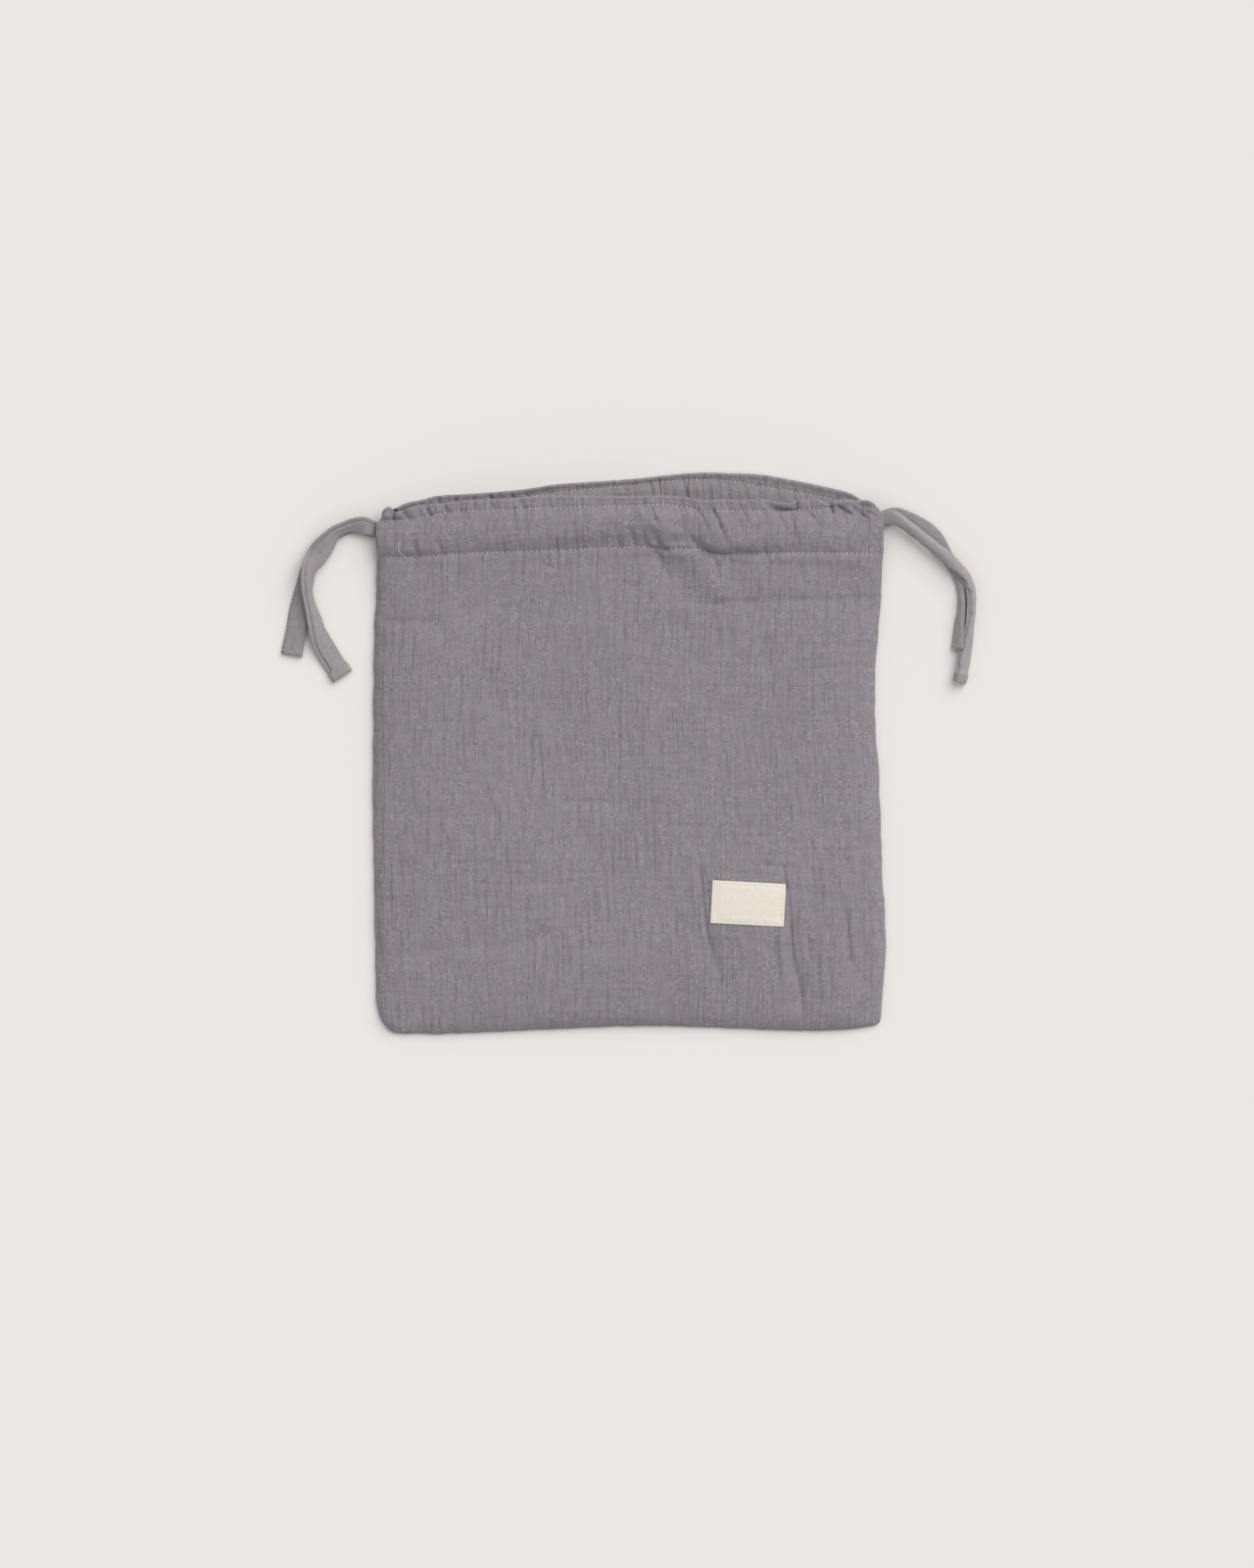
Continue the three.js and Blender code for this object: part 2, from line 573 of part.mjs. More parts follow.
function frontPanelGeometry() {
  const extra = headingPuckers.flatMap(({ x, width }) => [x - width / 2, x, x + width / 2]);
  const places = columnPlaces(edgeSteps, frontColumnStep, extra);
  const spacing = clothThickness + layerGap;
  const rows = panelRows(front, edgeSteps, bodyShares, raisedShares, flatShares);
  const grid = rows.map((row) => places.map((x0) => {
    const x = acrossPanel(x0, row.y(x0), setBackOf(row));
    const y = row.y(x);
    const stitch = front.high(x);
    const gathered = smooth(y, stitch - puckerStartsBelow, stitch + puckerFullAbove);
    const pucker = puckerDepth(x) * gathered;
    const point = new THREE.Vector3(x, y, 0);
    if (row.layer === 'outer') point.z = frontHeight(x, y) - pucker;
    if (row.layer === 'inner') point.z = hemHeight(x) - pucker;
    if (row.layer === 'fold') {
      point.y += foldRadius * Math.sin(row.angle);
      point.z = hemHeight(x) + spacing / 2 + foldRadius * Math.cos(row.angle) - pucker;
    }
    return roundCorners(point, front);
  }));
  return clothSolid(grid, clothThickness);
}

function backPanelGeometry() {
  const places = columnPlaces(backEdgeSteps, backColumnStep, []);
  const spacing = clothThickness + layerGap;
  const rows = panelRows(back, backEdgeSteps, backBodyShares, flatShares, raisedShares);
  const grid = rows.map((row) => places.map((x0) => {
    const x = acrossPanel(x0, row.y(x0), setBackOf(row));
    const y = row.y(x);
    const share = (y - back.low(x)) / (back.high(x) - back.low(x));
    const point = new THREE.Vector3(x, y, 0);
    if (row.layer === 'outer') point.z = backHeight(x, y);
    if (row.layer === 'inner') point.z = clothThickness / 2 + layerSpacing(back, x, share);
    if (row.layer === 'fold') {
      point.y += foldRadius * Math.sin(row.angle);
      point.z = clothThickness / 2 + foldRadius * (1 - Math.cos(row.angle));
    }
    return roundCorners(point, back);
  }));
  return clothSolid(grid, clothThickness);
}

function labelGeometry() {
  const { x, y, width, height, turn, lift, columns, rows } = labelPlace;
  const angle = THREE.MathUtils.degToRad(turn);
  const grid = Array.from({ length: rows + 1 }, (_, r) => Array.from({ length: columns + 1 }, (__, c) => {
    const u = width * (c / columns - 0.5);
    const v = height * (r / rows - 0.5);
    const px = x + u * Math.cos(angle) - v * Math.sin(angle);
    const py = y + u * Math.sin(angle) + v * Math.cos(angle);
    return new THREE.Vector3(px, py, frontHeight(px, py) + clothThickness + layerGap + lift);
  }));
  return clothSolid(grid, clothThickness);
}

// Eight-sided section of a flat strip, edges thinned
function stripSection(width, thickness) {
  const flat = width / 2 - Math.min(tieEdgeRound, width * narrowTieEdgeShare);
  const edge = (thickness * tieEdgeThicknessShare) / 2;
  return [
    [-width / 2, -edge], [-flat, -thickness / 2], [flat, -thickness / 2], [width / 2, -edge],
    [width / 2, edge], [flat, thickness / 2], [-flat, thickness / 2], [-width / 2, edge],
  ];
}

// Closed solid of a strip through stations: {centre, across, up, width, thickness}
function stripSolid(stations) {
  const positions = [];
  for (const station of stations) {
    for (const [u, v] of stripSection(station.width, station.thickness)) {
      const point = station.centre.clone().addScaledVector(station.across, u).addScaledVector(station.up, v);
      positions.push(...point);
    }
  }
  const sides = positions.length / 3 / stations.length;
  const triangles = [];
  for (let s = 0; s < stations.length - 1; s += 1) {
    for (let k = 0; k < sides; k += 1) {
      const a = s * sides + k;
      const b = s * sides + ((k + 1) % sides);
      triangles.push(a, b, b + sides, a, b + sides, a + sides);
    }
  }
  const end = (stations.length - 1) * sides;
  for (let k = 1; k < sides - 1; k += 1) {
    triangles.push(0, k + 1, k);
    triangles.push(end, end + k, end + k + 1);
  }
  return closedGeometry(positions, triangles);
}

// Height of a strip's middle when it lies on the surface, tilted or flat
function restingHeight(row) {
  const tilt = THREE.MathUtils.degToRad(Math.abs(row.tilt));
  return (row.width / 2) * Math.sin(tilt) + (row.thickness / 2) * Math.cos(tilt);
}

// Loose end of a tie: outerSide is 1 where its outer edge is on the right of the way it runs
function tailGeometry(table, outerSide) {
  const centres = table.map((row) => new THREE.Vector3(row.x, row.y, restingHeight(row) + row.lift));
  const curve = new THREE.CatmullRomCurve3(centres, false, 'centripetal');
  const steps = (table.length - 1) * tailStepsPerPoint;
  const indexed = table.map((row, i) => ({ ...row, i }));
  const read = (name, t) => column(indexed, 'i', name)(t);
  const stations = Array.from({ length: steps + 1 }, (_, s) => {
    const t = s / tailStepsPerPoint;
    const tangent = curve.getTangent(t / (table.length - 1));
    const side = new THREE.Vector3(tangent.y, -tangent.x, 0).normalize().multiplyScalar(outerSide);
    if (s === 0) side.set(0, 1, 0);
    const tilt = THREE.MathUtils.degToRad(read('tilt', t));
    const across = side.clone().multiplyScalar(Math.cos(tilt)).add(new THREE.Vector3(0, 0, Math.sin(tilt)));
    const up = side.clone().multiplyScalar(-Math.sin(tilt)).add(new THREE.Vector3(0, 0, Math.cos(tilt)));
    const centre = curve.getPoint(t / (table.length - 1));
    return { centre, across, up, width: read('width', t), thickness: read('thickness', t) };
  });
  return stripSolid(stations);
}

// Where a tie lies in a panel's casing
function heldPoint(panel, tie, x, over) {
  const place = column(panel.tiePlace, 'x', tie)(x);
  const y = mix(panel.low(x), panel.high(x), place);
  const under = panel === front ? hemHeight(x) : clothThickness / 2;
  const lying = under + (clothThickness + casingSlack + heldThickness) / 2 + layerGap;
  return new THREE.Vector3(x, y, lying + (over ? crossingRoom * crossingShare(panel, x) : 0));
}

// Held part of a tie: through the front casing, round inside the far side, back through the back casing
function tieRunGeometry(tie) {
  const fromLeft = tie === 'left';
  const start = fromLeft ? heldInset.exitLeft : heldInset.exitRight;
  const finish = fromLeft ? heldInset.exitLeft : heldInset.backExitRight;
  const turnAt = fromLeft ? heldInset.wrap : -heldInset.wrap;
  const stepsTo = (a, b) => Math.ceil(Math.abs(b - a) / heldStep);
  const walk = (panel, a, b) => Array.from(
    { length: stepsTo(a, b) + 1 },
    (_, i) => heldPoint(panel, tie, mix(a, b, i / stepsTo(a, b)), fromLeft),
  );
  const out = walk(front, start, turnAt);
  const home = walk(back, turnAt, finish);
  const from = out[out.length - 1];
  const to = home[0];
  const radius = (from.z - to.z) / 2;
  const bend = Array.from({ length: bendSteps - 1 }, (_, i) => {
    const share = (i + 1) / bendSteps;
    const angle = Math.PI * share;
    const point = from.clone().lerp(to, share);
    point.x += Math.sign(turnAt) * radius * Math.sin(angle);
    point.z = (from.z + to.z) / 2 + radius * Math.cos(angle);
    return point;
  });
  const path = [...out, ...bend, ...home];
  const stations = path.map((centre, i) => {
    const tangent = path[Math.min(i + 1, path.length - 1)].clone().sub(path[Math.max(i - 1, 0)]).normalize();
    const across = new THREE.Vector3(0, 1, 0);
    if (i === 0 || i === path.length - 1) tangent.set(Math.sign(tangent.x), 0, 0);
    across.addScaledVector(tangent, -across.dot(tangent)).normalize();
    return { centre, across, up: tangent.clone().cross(across), width: heldWidth, thickness: heldThickness };
  });
  return stripSolid(stations);
}

function part(name, geometry, material) {
  const mesh = new THREE.Mesh(geometry, material);
  mesh.name = name;
  return mesh;
}

function buildBag() {
  const cloth = clothMaterial('gauze', colours.cloth);
  const tie = clothMaterial('tie', colours.tie);
  const bag = new THREE.Group();
  bag.add(
    part('back_panel', backPanelGeometry(), cloth),
    part('front_panel', frontPanelGeometry(), cloth),
    part('label', labelGeometry(), clothMaterial('label', colours.label)),
    part('left_tie_run', tieRunGeometry('left'), tie),
    part('right_tie_run', tieRunGeometry('right'), tie),
    part('left_tail_front', tailGeometry(leftTailFront, 1), tie),
    part('left_tail_back', tailGeometry(leftTailBack, 1), tie),
    part('right_tail_front', tailGeometry(rightTailFront, -1), tie),
    part('right_tail_back', tailGeometry(rightTailBack, -1), tie),
  );
  return bag;
}

export default buildBag();
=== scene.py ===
import math

import bmesh
import bpy
import numpy as np
from mathutils import Matrix, Vector


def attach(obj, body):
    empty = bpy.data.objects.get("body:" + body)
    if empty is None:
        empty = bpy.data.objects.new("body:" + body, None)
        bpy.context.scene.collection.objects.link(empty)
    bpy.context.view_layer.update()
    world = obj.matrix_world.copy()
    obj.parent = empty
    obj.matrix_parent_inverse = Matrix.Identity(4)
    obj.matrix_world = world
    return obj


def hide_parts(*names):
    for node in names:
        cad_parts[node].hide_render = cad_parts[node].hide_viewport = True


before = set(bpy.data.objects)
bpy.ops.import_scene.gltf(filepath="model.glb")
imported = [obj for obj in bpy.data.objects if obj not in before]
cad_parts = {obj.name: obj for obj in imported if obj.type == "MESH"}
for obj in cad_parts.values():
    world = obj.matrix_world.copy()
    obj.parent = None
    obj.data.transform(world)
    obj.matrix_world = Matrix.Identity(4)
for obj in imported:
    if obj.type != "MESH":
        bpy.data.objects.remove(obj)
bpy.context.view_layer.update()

# All sizes below are in millimetres and become metres where a mesh is made.
# +Y is towards the mouth of the bag, the origin is under its middle.
mm = 0.001


# Camera and light

view = {
    "middle": (-0.96, -15.17),  # what the camera looks straight down on
    "height": 4000.0,
    "frameHeight": 770.7,  # what its frame shows of the surface, top to bottom
    "sensor": 24.0,
    "farthest": 50000.0,
}

studio = {
    "sunFrom": (0.52, 0.62, 0.80),  # soft key light from the top right
    "sunSoftness": 55.0,
    "sunStrength": 2.08,
    "skyStrength": 0.576,
    "skyColour": (1.0, 0.996, 0.99),
    "floorColour": (0.80, 0.768, 0.748),
    "floorRoughness": 0.95,
    "floorSize": 12000.0,
    "floorDrop": 0.05,
}


def makeCamera():
    data = bpy.data.cameras.new("camera")
    data.sensor_fit = "VERTICAL"
    data.sensor_height = view["sensor"]
    data.lens = view["sensor"] * view["height"] / view["frameHeight"]
    data.clip_end = view["farthest"] * mm
    camera = bpy.data.objects.new("camera", data)
    camera.location = (view["middle"][0] * mm, view["middle"][1] * mm, view["height"] * mm)
    bpy.context.scene.collection.objects.link(camera)
    bpy.context.scene.camera = camera


def makeLight():
    data = bpy.data.lights.new("keyLight", "SUN")
    data.energy = studio["sunStrength"]
    data.angle = math.radians(studio["sunSoftness"])
    light = bpy.data.objects.new("keyLight", data)
    light.rotation_euler = Vector(studio["sunFrom"]).to_track_quat("Z", "Y").to_euler()
    bpy.context.scene.collection.objects.link(light)
    world = bpy.data.worlds.new("studio")
    world.use_nodes = True
    background = world.node_tree.nodes["Background"]
    background.inputs["Color"].default_value = (*studio["skyColour"], 1)
    background.inputs["Strength"].default_value = studio["skyStrength"]
    bpy.context.scene.world = world
    bpy.context.scene.view_settings.view_transform = "Standard"  # keeps the cloth's own colours


makeCamera()
makeLight()
print("camera and light ready")


# Tables and noise

def curveThrough(table, at, name):
    # smooth curve through one column of a table
    xs = np.array(table[at], float)
    ys = np.array(table[name], float)
    ahead = np.minimum(np.arange(len(xs)) + 1, len(xs) - 1)
    behind = np.maximum(np.arange(len(xs)) - 1, 0)
    slopes = (ys[ahead] - ys[behind]) / (xs[ahead] - xs[behind])

    def read(value):
        value = np.clip(np.asarray(value, float), xs[0], xs[-1])
        i = np.clip(np.searchsorted(xs, value, "right") - 1, 0, len(xs) - 2)
        span = xs[i + 1] - xs[i]
        t = (value - xs[i]) / span
        return ((2 * t**3 - 3 * t**2 + 1) * ys[i] + (t**3 - 2 * t**2 + t) * span * slopes[i]
                + (3 * t**2 - 2 * t**3) * ys[i + 1] + (t**3 - t**2) * span * slopes[i + 1])

    return read


def smoothStep(value, low, high):
    t = np.clip((value - low) / (high - low), 0, 1)
    return t * t * (3 - 2 * t)


def mix(a, b, share):
    return a + (b - a) * share


def bell(distance, width):
    return np.exp(-(distance / width)**2)


def unit(vectors):
    return vectors / np.linalg.norm(vectors, axis=-1, keepdims=True)


def lengthsAlong(path):
    return np.concatenate([[0], np.cumsum(np.linalg.norm(np.diff(path, axis=0), axis=1))])


noiseSize = 128
noiseTable = np.random.default_rng(11).random((noiseSize, noiseSize)) * 2 - 1


def softNoise(x, y, sizeX, sizeY, start):
    # smooth noise from -1 to 1, with blobs of about sizeX by sizeY
    u = x / sizeX + 17.3 * start
    v = y / sizeY + 7.9 * start
    i = np.floor(u).astype(int)
    j = np.floor(v).astype(int)
    fu = smoothStep(u - i, 0, 1)
    left, right = i % noiseSize, (i + 1) % noiseSize
    near, far = (mix(noiseTable[left, k % noiseSize], noiseTable[right, k % noiseSize], fu)
                 for k in (j, j + 1))
    return mix(near, far, smoothStep(v - j, 0, 1))


# Meshes

def vertexPlaces(mesh):
    flat = np.empty(len(mesh.vertices) * 3)
    mesh.vertices.foreach_get("co", flat)
    return flat.reshape(-1, 3)


def layCloth(mesh, places):
    # the mesh's own map, from a place in metres for each vertex
    vertexOf = np.empty(len(mesh.loops), int)
    mesh.loops.foreach_get("vertex_index", vertexOf)
    layer = mesh.uv_layers.new(name="cloth")
    layer.data.foreach_set("uv", places[vertexOf].ravel())


def addPiece(name, mesh, material):
    mesh.shade_smooth()
    mesh.materials.append(material)
    piece = bpy.data.objects.new(name, mesh)
    bpy.context.scene.collection.objects.link(piece)
    return piece


def closeTube(mesh):
    bm = bmesh.new()
    bm.from_mesh(mesh)
    bmesh.ops.remove_doubles(bm, verts=bm.verts[:], dist=1e-7)
    bmesh.ops.holes_fill(bm, edges=[edge for edge in bm.edges if edge.is_boundary], sides=0)
    bmesh.ops.recalc_face_normals(bm, faces=bm.faces[:])
    bm.to_mesh(mesh)
    bm.free()


def gridPiece(name, points, uv, material, closed=False, thickness=0.0):
    # a grid of points, rows by columns, in millimetres; closed joins its sides into a tube
    rows, columns = points.shape[:2]
    bm = bmesh.new()
    bmesh.ops.create_grid(bm, x_segments=columns - 1, y_segments=rows - 1, size=0.5)
    mesh = bpy.data.meshes.new(name)
    bm.to_mesh(mesh)
    bm.free()
    flat = vertexPlaces(mesh)
    column = np.rint((flat[:, 0] + 0.5) * (columns - 1)).astype(int)
    row = np.rint((flat[:, 1] + 0.5) * (rows - 1)).astype(int)
    mesh.vertices.foreach_set("co", (points[row, column] * mm).ravel())
    layCloth(mesh, uv[row, column] * mm)
    if closed:
        closeTube(mesh)
    mesh.update()
    piece = addPiece(name, mesh, material)
    if thickness:
        wall = piece.modifiers.new("clothThickness", "SOLIDIFY")
        wall.thickness = thickness * mm
        wall.offset = 0
    return piece


def finishPiece(piece, slot, *nodes):
    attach(piece, "root")
    if nodes:
        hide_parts(*nodes)
    return piece


# Materials

def addNode(tree, kind, inputs=None, **settings):
    node = tree.nodes.new(kind)
    for key, value in settings.items():
        setattr(node, key, value)
    for key, value in (inputs or {}).items():
        if isinstance(value, bpy.types.NodeSocket):
            tree.links.new(value, node.inputs[key])
        else:
            node.inputs[key].default_value = value
    return node


weaveForm = {
    "layers": {  # noises: repeats a mm across and up, detail, shift
        "ribs": (0.44, 0.035, 1.5, 0.0), "crossing": (0.10, 0.40, 2.0, 11.0),
        "warp": (1.9, 0.30, 1.0, 5.0), "weft": (0.30, 1.9, 1.0, 23.0),
        "slubsUp": (2.1, 0.42, 0.0, 41.0), "slubsAcross": (0.42, 2.1, 0.0, 43.0),
        "slubPlaces": (0.11, 0.07, 1.0, 47.0), "tone": (0.30, 0.12, 3.0, 83.0),
        "hue": (0.11, 0.05, 2.0, 61.0), "fineHue": (0.50, 0.20, 1.0, 71.0),
        "puckers": (0.055, 0.30, 2.5, 101.0), "pleats": (0.30, 0.036, 2.5, 131.0),
    },
    "patches": {  # size in mm, shift, least share
        "puckers": (30.0, 110.0, 0.3), "pleats": (36.0, 140.0, 0.35),
    },
    "masks": {  # from, to, amount
        "ribs": (0.3, 0.7, 0.27), "crossing": (0.30, 0.55, 0.06),
        "lightThreads": (0.52, 0.68, 0.22), "lightTone": (0.52, 0.72, 0.14),
        # on the next line, the third mask is painted shade, darker in the troughs of the crossing creases;
        # the others are random thread and tone variation
        "darkThreads": (0.48, 0.32, 0.22), "darkTone": (0.48, 0.28, 0.18), "crossingShade": (0.42, 0.28, 0.12),
    },
    "lightSlubs": (0.64, 0.80, 0.6),
    "darkSlubs": (0.35, 0.20, 0.5),
    "warpShare": 0.55,
    "hueShare": 0.55,
    "puckerDepth": -0.25,  # depths and heights in mm
    "pleatDepth": -0.45,
    "threadHeight": 0.16,
    "foldShade": 0.05,
    "warmTint": (1.035, 0.985, 0.985, 1),
    "coolTint": (0.965, 1.012, 1.018, 1),
    "roughness": (0.86, 0.97),
    "specular": 0.2,
    "sheenRoughness": 0.6,
}


def makeClothGroup():
    # crinkled weave: takes a place in metres on the cloth, gives its colour, roughness and height; the colour
    # holds painted shade in the troughs of the crossing creases and in the puckers and pleats
    group = bpy.data.node_groups.new("crinkledWeave", "ShaderNodeTree")
    sockets = [
        ("INPUT", "NodeSocketVector", ["Place"]),
        ("INPUT", "NodeSocketColor", ["Cloth", "Light thread", "Dark thread and shade"]),
        ("INPUT", "NodeSocketFloat", ["Crinkle", "Mottle"]),
        ("OUTPUT", "NodeSocketColor", ["Color"]),
        ("OUTPUT", "NodeSocketFloat", ["Roughness", "Height"]),
    ]
    for way, kind, names in sockets:
        for name in names:
            group.interface.new_socket(name=name, in_out=way, socket_type=kind)
    given = group.nodes.new("NodeGroupInput").outputs
    result = group.nodes.new("NodeGroupOutput").inputs

    def noise(perMmX, perMmY, detail, shift):
        place = addNode(group, "ShaderNodeVectorMath", {
            0: given["Place"], 1: (perMmX / mm, perMmY / mm, 1), 2: (shift, shift, shift),
        }, operation="MULTIPLY_ADD")
        return addNode(group, "ShaderNodeTexNoise", {
            "Vector": place.outputs[0], "Scale": 1.0, "Detail": detail, "Roughness": 0.5,
        }, noise_dimensions="2D").outputs[0]

    def remap(value, fromLow, fromHigh, toLow=0, toHigh=1):
        return addNode(group, "ShaderNodeMapRange", {
            "Value": value, "From Min": fromLow, "From Max": fromHigh, "To Min": toLow, "To Max": toHigh,
        }, interpolation_type="SMOOTHSTEP").outputs[0]

    def plus(total, *values):
        for value in values:
            total = addNode(group, "ShaderNodeMath", {0: total, 1: value}, operation="ADD").outputs[0]
        return total

    def times(a, b):
        return addNode(group, "ShaderNodeMath", {0: a, 1: b}, operation="MULTIPLY").outputs[0]

    def blend(share, a, b, how="MIX"):
        # by number, as the mix node has sockets of one name for each kind of value
        inputs = {0: share, 6: a, 7: b}
        return addNode(group, "ShaderNodeMix", inputs, data_type="RGBA", blend_type=how).outputs[2]

    layers = {name: noise(*settings) for name, settings in weaveForm["layers"].items()}

    def masked(name, source):
        low, high, amount = weaveForm["masks"][name]
        return times(remap(source, low, high), amount)

    def mixed(a, b, share):
        return plus(times(layers[a], share), times(layers[b], 1 - share))

    def patchy(name):
        # folds of one kind, weaker outside their patches
        size, shift, least = weaveForm["patches"][name]
        patch = remap(noise(1 / size, 1 / size, 1.0, shift), 0.42, 0.60, least)
        return times(remap(layers[name], 0.34, 0.62, 1, 0), patch)

    def slubs(low, high, amount):
        return plus(*(remap(layers[name], low, high, 0, amount) for name in ("slubsUp", "slubsAcross")))

    threads = mixed("warp", "weft", weaveForm["warpShare"])
    puckers, pleats = patchy("puckers"), patchy("pleats")
    folds = plus(times(puckers, weaveForm["puckerDepth"]), times(pleats, weaveForm["pleatDepth"]))
    height = plus(masked("ribs", layers["ribs"]), masked("crossing", layers["crossing"]), folds)
    height = plus(times(height, given["Crinkle"]), times(threads, weaveForm["threadHeight"]))

    hue = remap(mixed("hue", "fineHue", weaveForm["hueShare"]), 0.38, 0.62)
    tint = blend(hue, weaveForm["warmTint"], weaveForm["coolTint"])
    tinted = blend(given["Mottle"], given["Cloth"], tint, "MULTIPLY")
    many = remap(layers["slubPlaces"], 0.36, 0.66, 0.2)
    light = plus(masked("lightThreads", threads), times(slubs(*weaveForm["lightSlubs"]), many),
                 masked("lightTone", layers["tone"]))
    # darker threads, slubs and tone, plus painted shade in the troughs of the crossing creases and in the
    # puckers and pleats
    dark = plus(masked("darkThreads", threads), times(slubs(*weaveForm["darkSlubs"]), many),
                masked("darkTone", layers["tone"]), masked("crossingShade", layers["crossing"]),
                times(times(plus(puckers, pleats), given["Crinkle"]), weaveForm["foldShade"]))
    colour = blend(dark, blend(light, tinted, given["Light thread"]), given["Dark thread and shade"])
    group.links.new(colour, result["Color"])
    group.links.new(remap(threads, 0.3, 0.7, *weaveForm["roughness"]), result["Roughness"])
    group.links.new(height, result["Height"])
    return group


clothGroup = makeClothGroup()


def clothMaterial(name, look):
    material = bpy.data.materials.new(name)
    material.use_nodes = True
    tree = material.node_tree
    shader = tree.nodes["Principled BSDF"]
    place = addNode(tree, "ShaderNodeUVMap", uv_map="cloth")
    # the dark thread colour is also the colour of the painted shade in creases and folds
    weave = addNode(tree, "ShaderNodeGroup", {
        "Place": place.outputs["UV"], "Cloth": (*look["cloth"], 1), "Light thread": (*look["light"], 1),
        "Dark thread and shade": (*look["dark"], 1), "Crinkle": look["crinkle"], "Mottle": look["mottle"],
    }, node_tree=clothGroup)
    bump = addNode(tree, "ShaderNodeBump", {
        "Strength": look["bump"], "Distance": mm, "Height": weave.outputs["Height"],
    })
    tree.links.new(weave.outputs["Color"], shader.inputs["Base Color"])
    tree.links.new(weave.outputs["Roughness"], shader.inputs["Roughness"])
    tree.links.new(bump.outputs["Normal"], shader.inputs["Normal"])
    shader.inputs["Specular IOR Level"].default_value = weaveForm["specular"]
    shader.inputs["Sheen Weight"].default_value = look["sheen"]
    shader.inputs["Sheen Roughness"].default_value = weaveForm["sheenRoughness"]
    return material


gauzeLook = {
    "cloth": (0.247, 0.223, 0.246), "light": (0.37, 0.33, 0.352), "dark": (0.155, 0.139, 0.16),
    "crinkle": 1.0, "mottle": 0.8, "bump": 0.8, "sheen": 0.1,
}
tieLook = {
    "cloth": (0.302, 0.28, 0.291), "light": (0.375, 0.348, 0.358), "dark": (0.24, 0.222, 0.232),
    "crinkle": 0.6, "mottle": 0.7, "bump": 0.7, "sheen": 0.1,
}
threadLook = {
    "cloth": (0.51, 0.46, 0.475), "light": (0.66, 0.61, 0.62), "dark": (0.37, 0.33, 0.345),
    "crinkle": 0.3, "mottle": 0.4, "bump": 0.4, "sheen": 0.1,
}
labelLook = {
    "cloth": (0.775, 0.71, 0.615), "light": (0.83, 0.78, 0.70), "dark": (0.70, 0.63, 0.535),
    "crinkle": 0.12, "mottle": 0.25, "bump": 0.5, "sheen": 0.05,
}
looks = {
    "gauze": gauzeLook,
    "backGauze": dict(gauzeLook, cloth=(0.25, 0.228, 0.238)),
    # dark dots of painted shade, where the stitches dip into the cloth
    "paintedStitchShade": dict(gauzeLook, cloth=(0.075, 0.065, 0.075), light=(0.11, 0.1, 0.11),
                       dark=(0.05, 0.045, 0.05)),
    "tieCloth": tieLook,
    # a lighter copy of the tie cloth: painted light for both right tails, on the side that faces the light
    "litRightTieCloth": dict(tieLook, cloth=(0.338, 0.313, 0.323), light=(0.42, 0.39, 0.40),
                          dark=(0.26, 0.24, 0.25)),
    # a darker copy of the tie cloth: painted shade for the back left tail, which lies in the front tail's
    # shadow
    "shadedTieCloth": dict(tieLook, cloth=(0.268, 0.248, 0.259)),
    "tieEnd": dict(tieLook, cloth=(0.288, 0.281, 0.272), light=(0.38, 0.37, 0.36)),
    "labelCotton": labelLook,
    "thread": threadLook,
    "labelThread": dict(threadLook, cloth=(0.72, 0.645, 0.53), light=(0.8, 0.74, 0.66),
                        dark=(0.6, 0.52, 0.42)),
}
cloths = {name: clothMaterial(name, look) for name, look in looks.items()}
print("cloths ready:", ", ".join(cloths))


# Shape of the bag, the same lines as its solids

cloth = {
    "solidThickness": 1.0,
    "thickness": 0.8,
    "lift": 0.1,  # keeps the outer face where the solid's is
    "layerGap": 0.3,
    "seamHeight": 1.6,
    "seamAbove": -0.65,  # the front's edge wraps the back's, which is drawn in
    "seamBelow": 0.3,
    "seamClimb": 1.4,
    "seamRollWidth": 6.2,
    "seamRollRise": 2.4,
    "bodyRise": 6.0,
    "bodyRiseLength": 20.0,
    "hemHeightAtSides": 4.6,
    "hemHeightRise": 4.8,
    "endHeight": 6.0,  # of the casing's open ends, and where the ties leave them
    "exitHeight": 7.0,
    "backDrawnIn": 0.95,
    "halfWidth": 125.5,
    "casingRoom": 2.0,
    "crossingRoom": 1.5,
    "hemSetBack": 6.5,
    "hemSetBackReach": 20.0,
    "hemTail": 2.5,
    "foldRadius": 0.9,
    "casingHeight": 19,
    "hangShare": 0.42,  # how much of the casing's height hangs over the lower stitches
    "hangRise": 0.16,
    "stitchDepth": 0.5,
    "stitchWidth": 0.9,
    "beadBelow": 2.6,
    "beadWidth": 2.1,
    "backCurl": 2.0,
    "rimSteps": [0, 0.1, 0.3, 0.62, 1.05, 1.6],  # columns beside the seams
    "rimWidth": 2.2,
}

# from and to, in mm above the lower stitches
blends = {"seamClimb": (-26, -3), "casing": (-30, 0), "trough": (-5, 0), "rim": (-3, 4), "openEnd": (5, 10.5)}

sideEdge = {
    "y": [-140, -133, -123, -108, -98, -86, -60, -15, 10, 33, 62, 81, 95, 105, 112, 114, 115.6, 118, 122],
    "left": [-123.9, -124.0, -124.2, -124.4, -124.7, -124.9, -125.2, -125.7, -125.7, -125.4, -125.2,
             -123.9, -123.9, -124.4, -124.3, -122.8, -121.5, -121.6, -121.2],
    "right": [123.0, 123.4, 124.5, 125.8, 126.6, 126.2, 124.8, 123.2, 121.6, 120.7, 122.8, 124.3, 124.9,
              125.3, 125.8, 126.0, 125.3, 123.8, 121.0],
}
bottomEdge = {
    "x": [-126, -98, -66, -37, 0, 35, 78, 100, 112, 118, 126],
    "y": [-137.2, -138.0, -137.0, -135.6, -134.1, -134.6, -136.1, -136.1, -135.3, -134.3, -132.7],
}
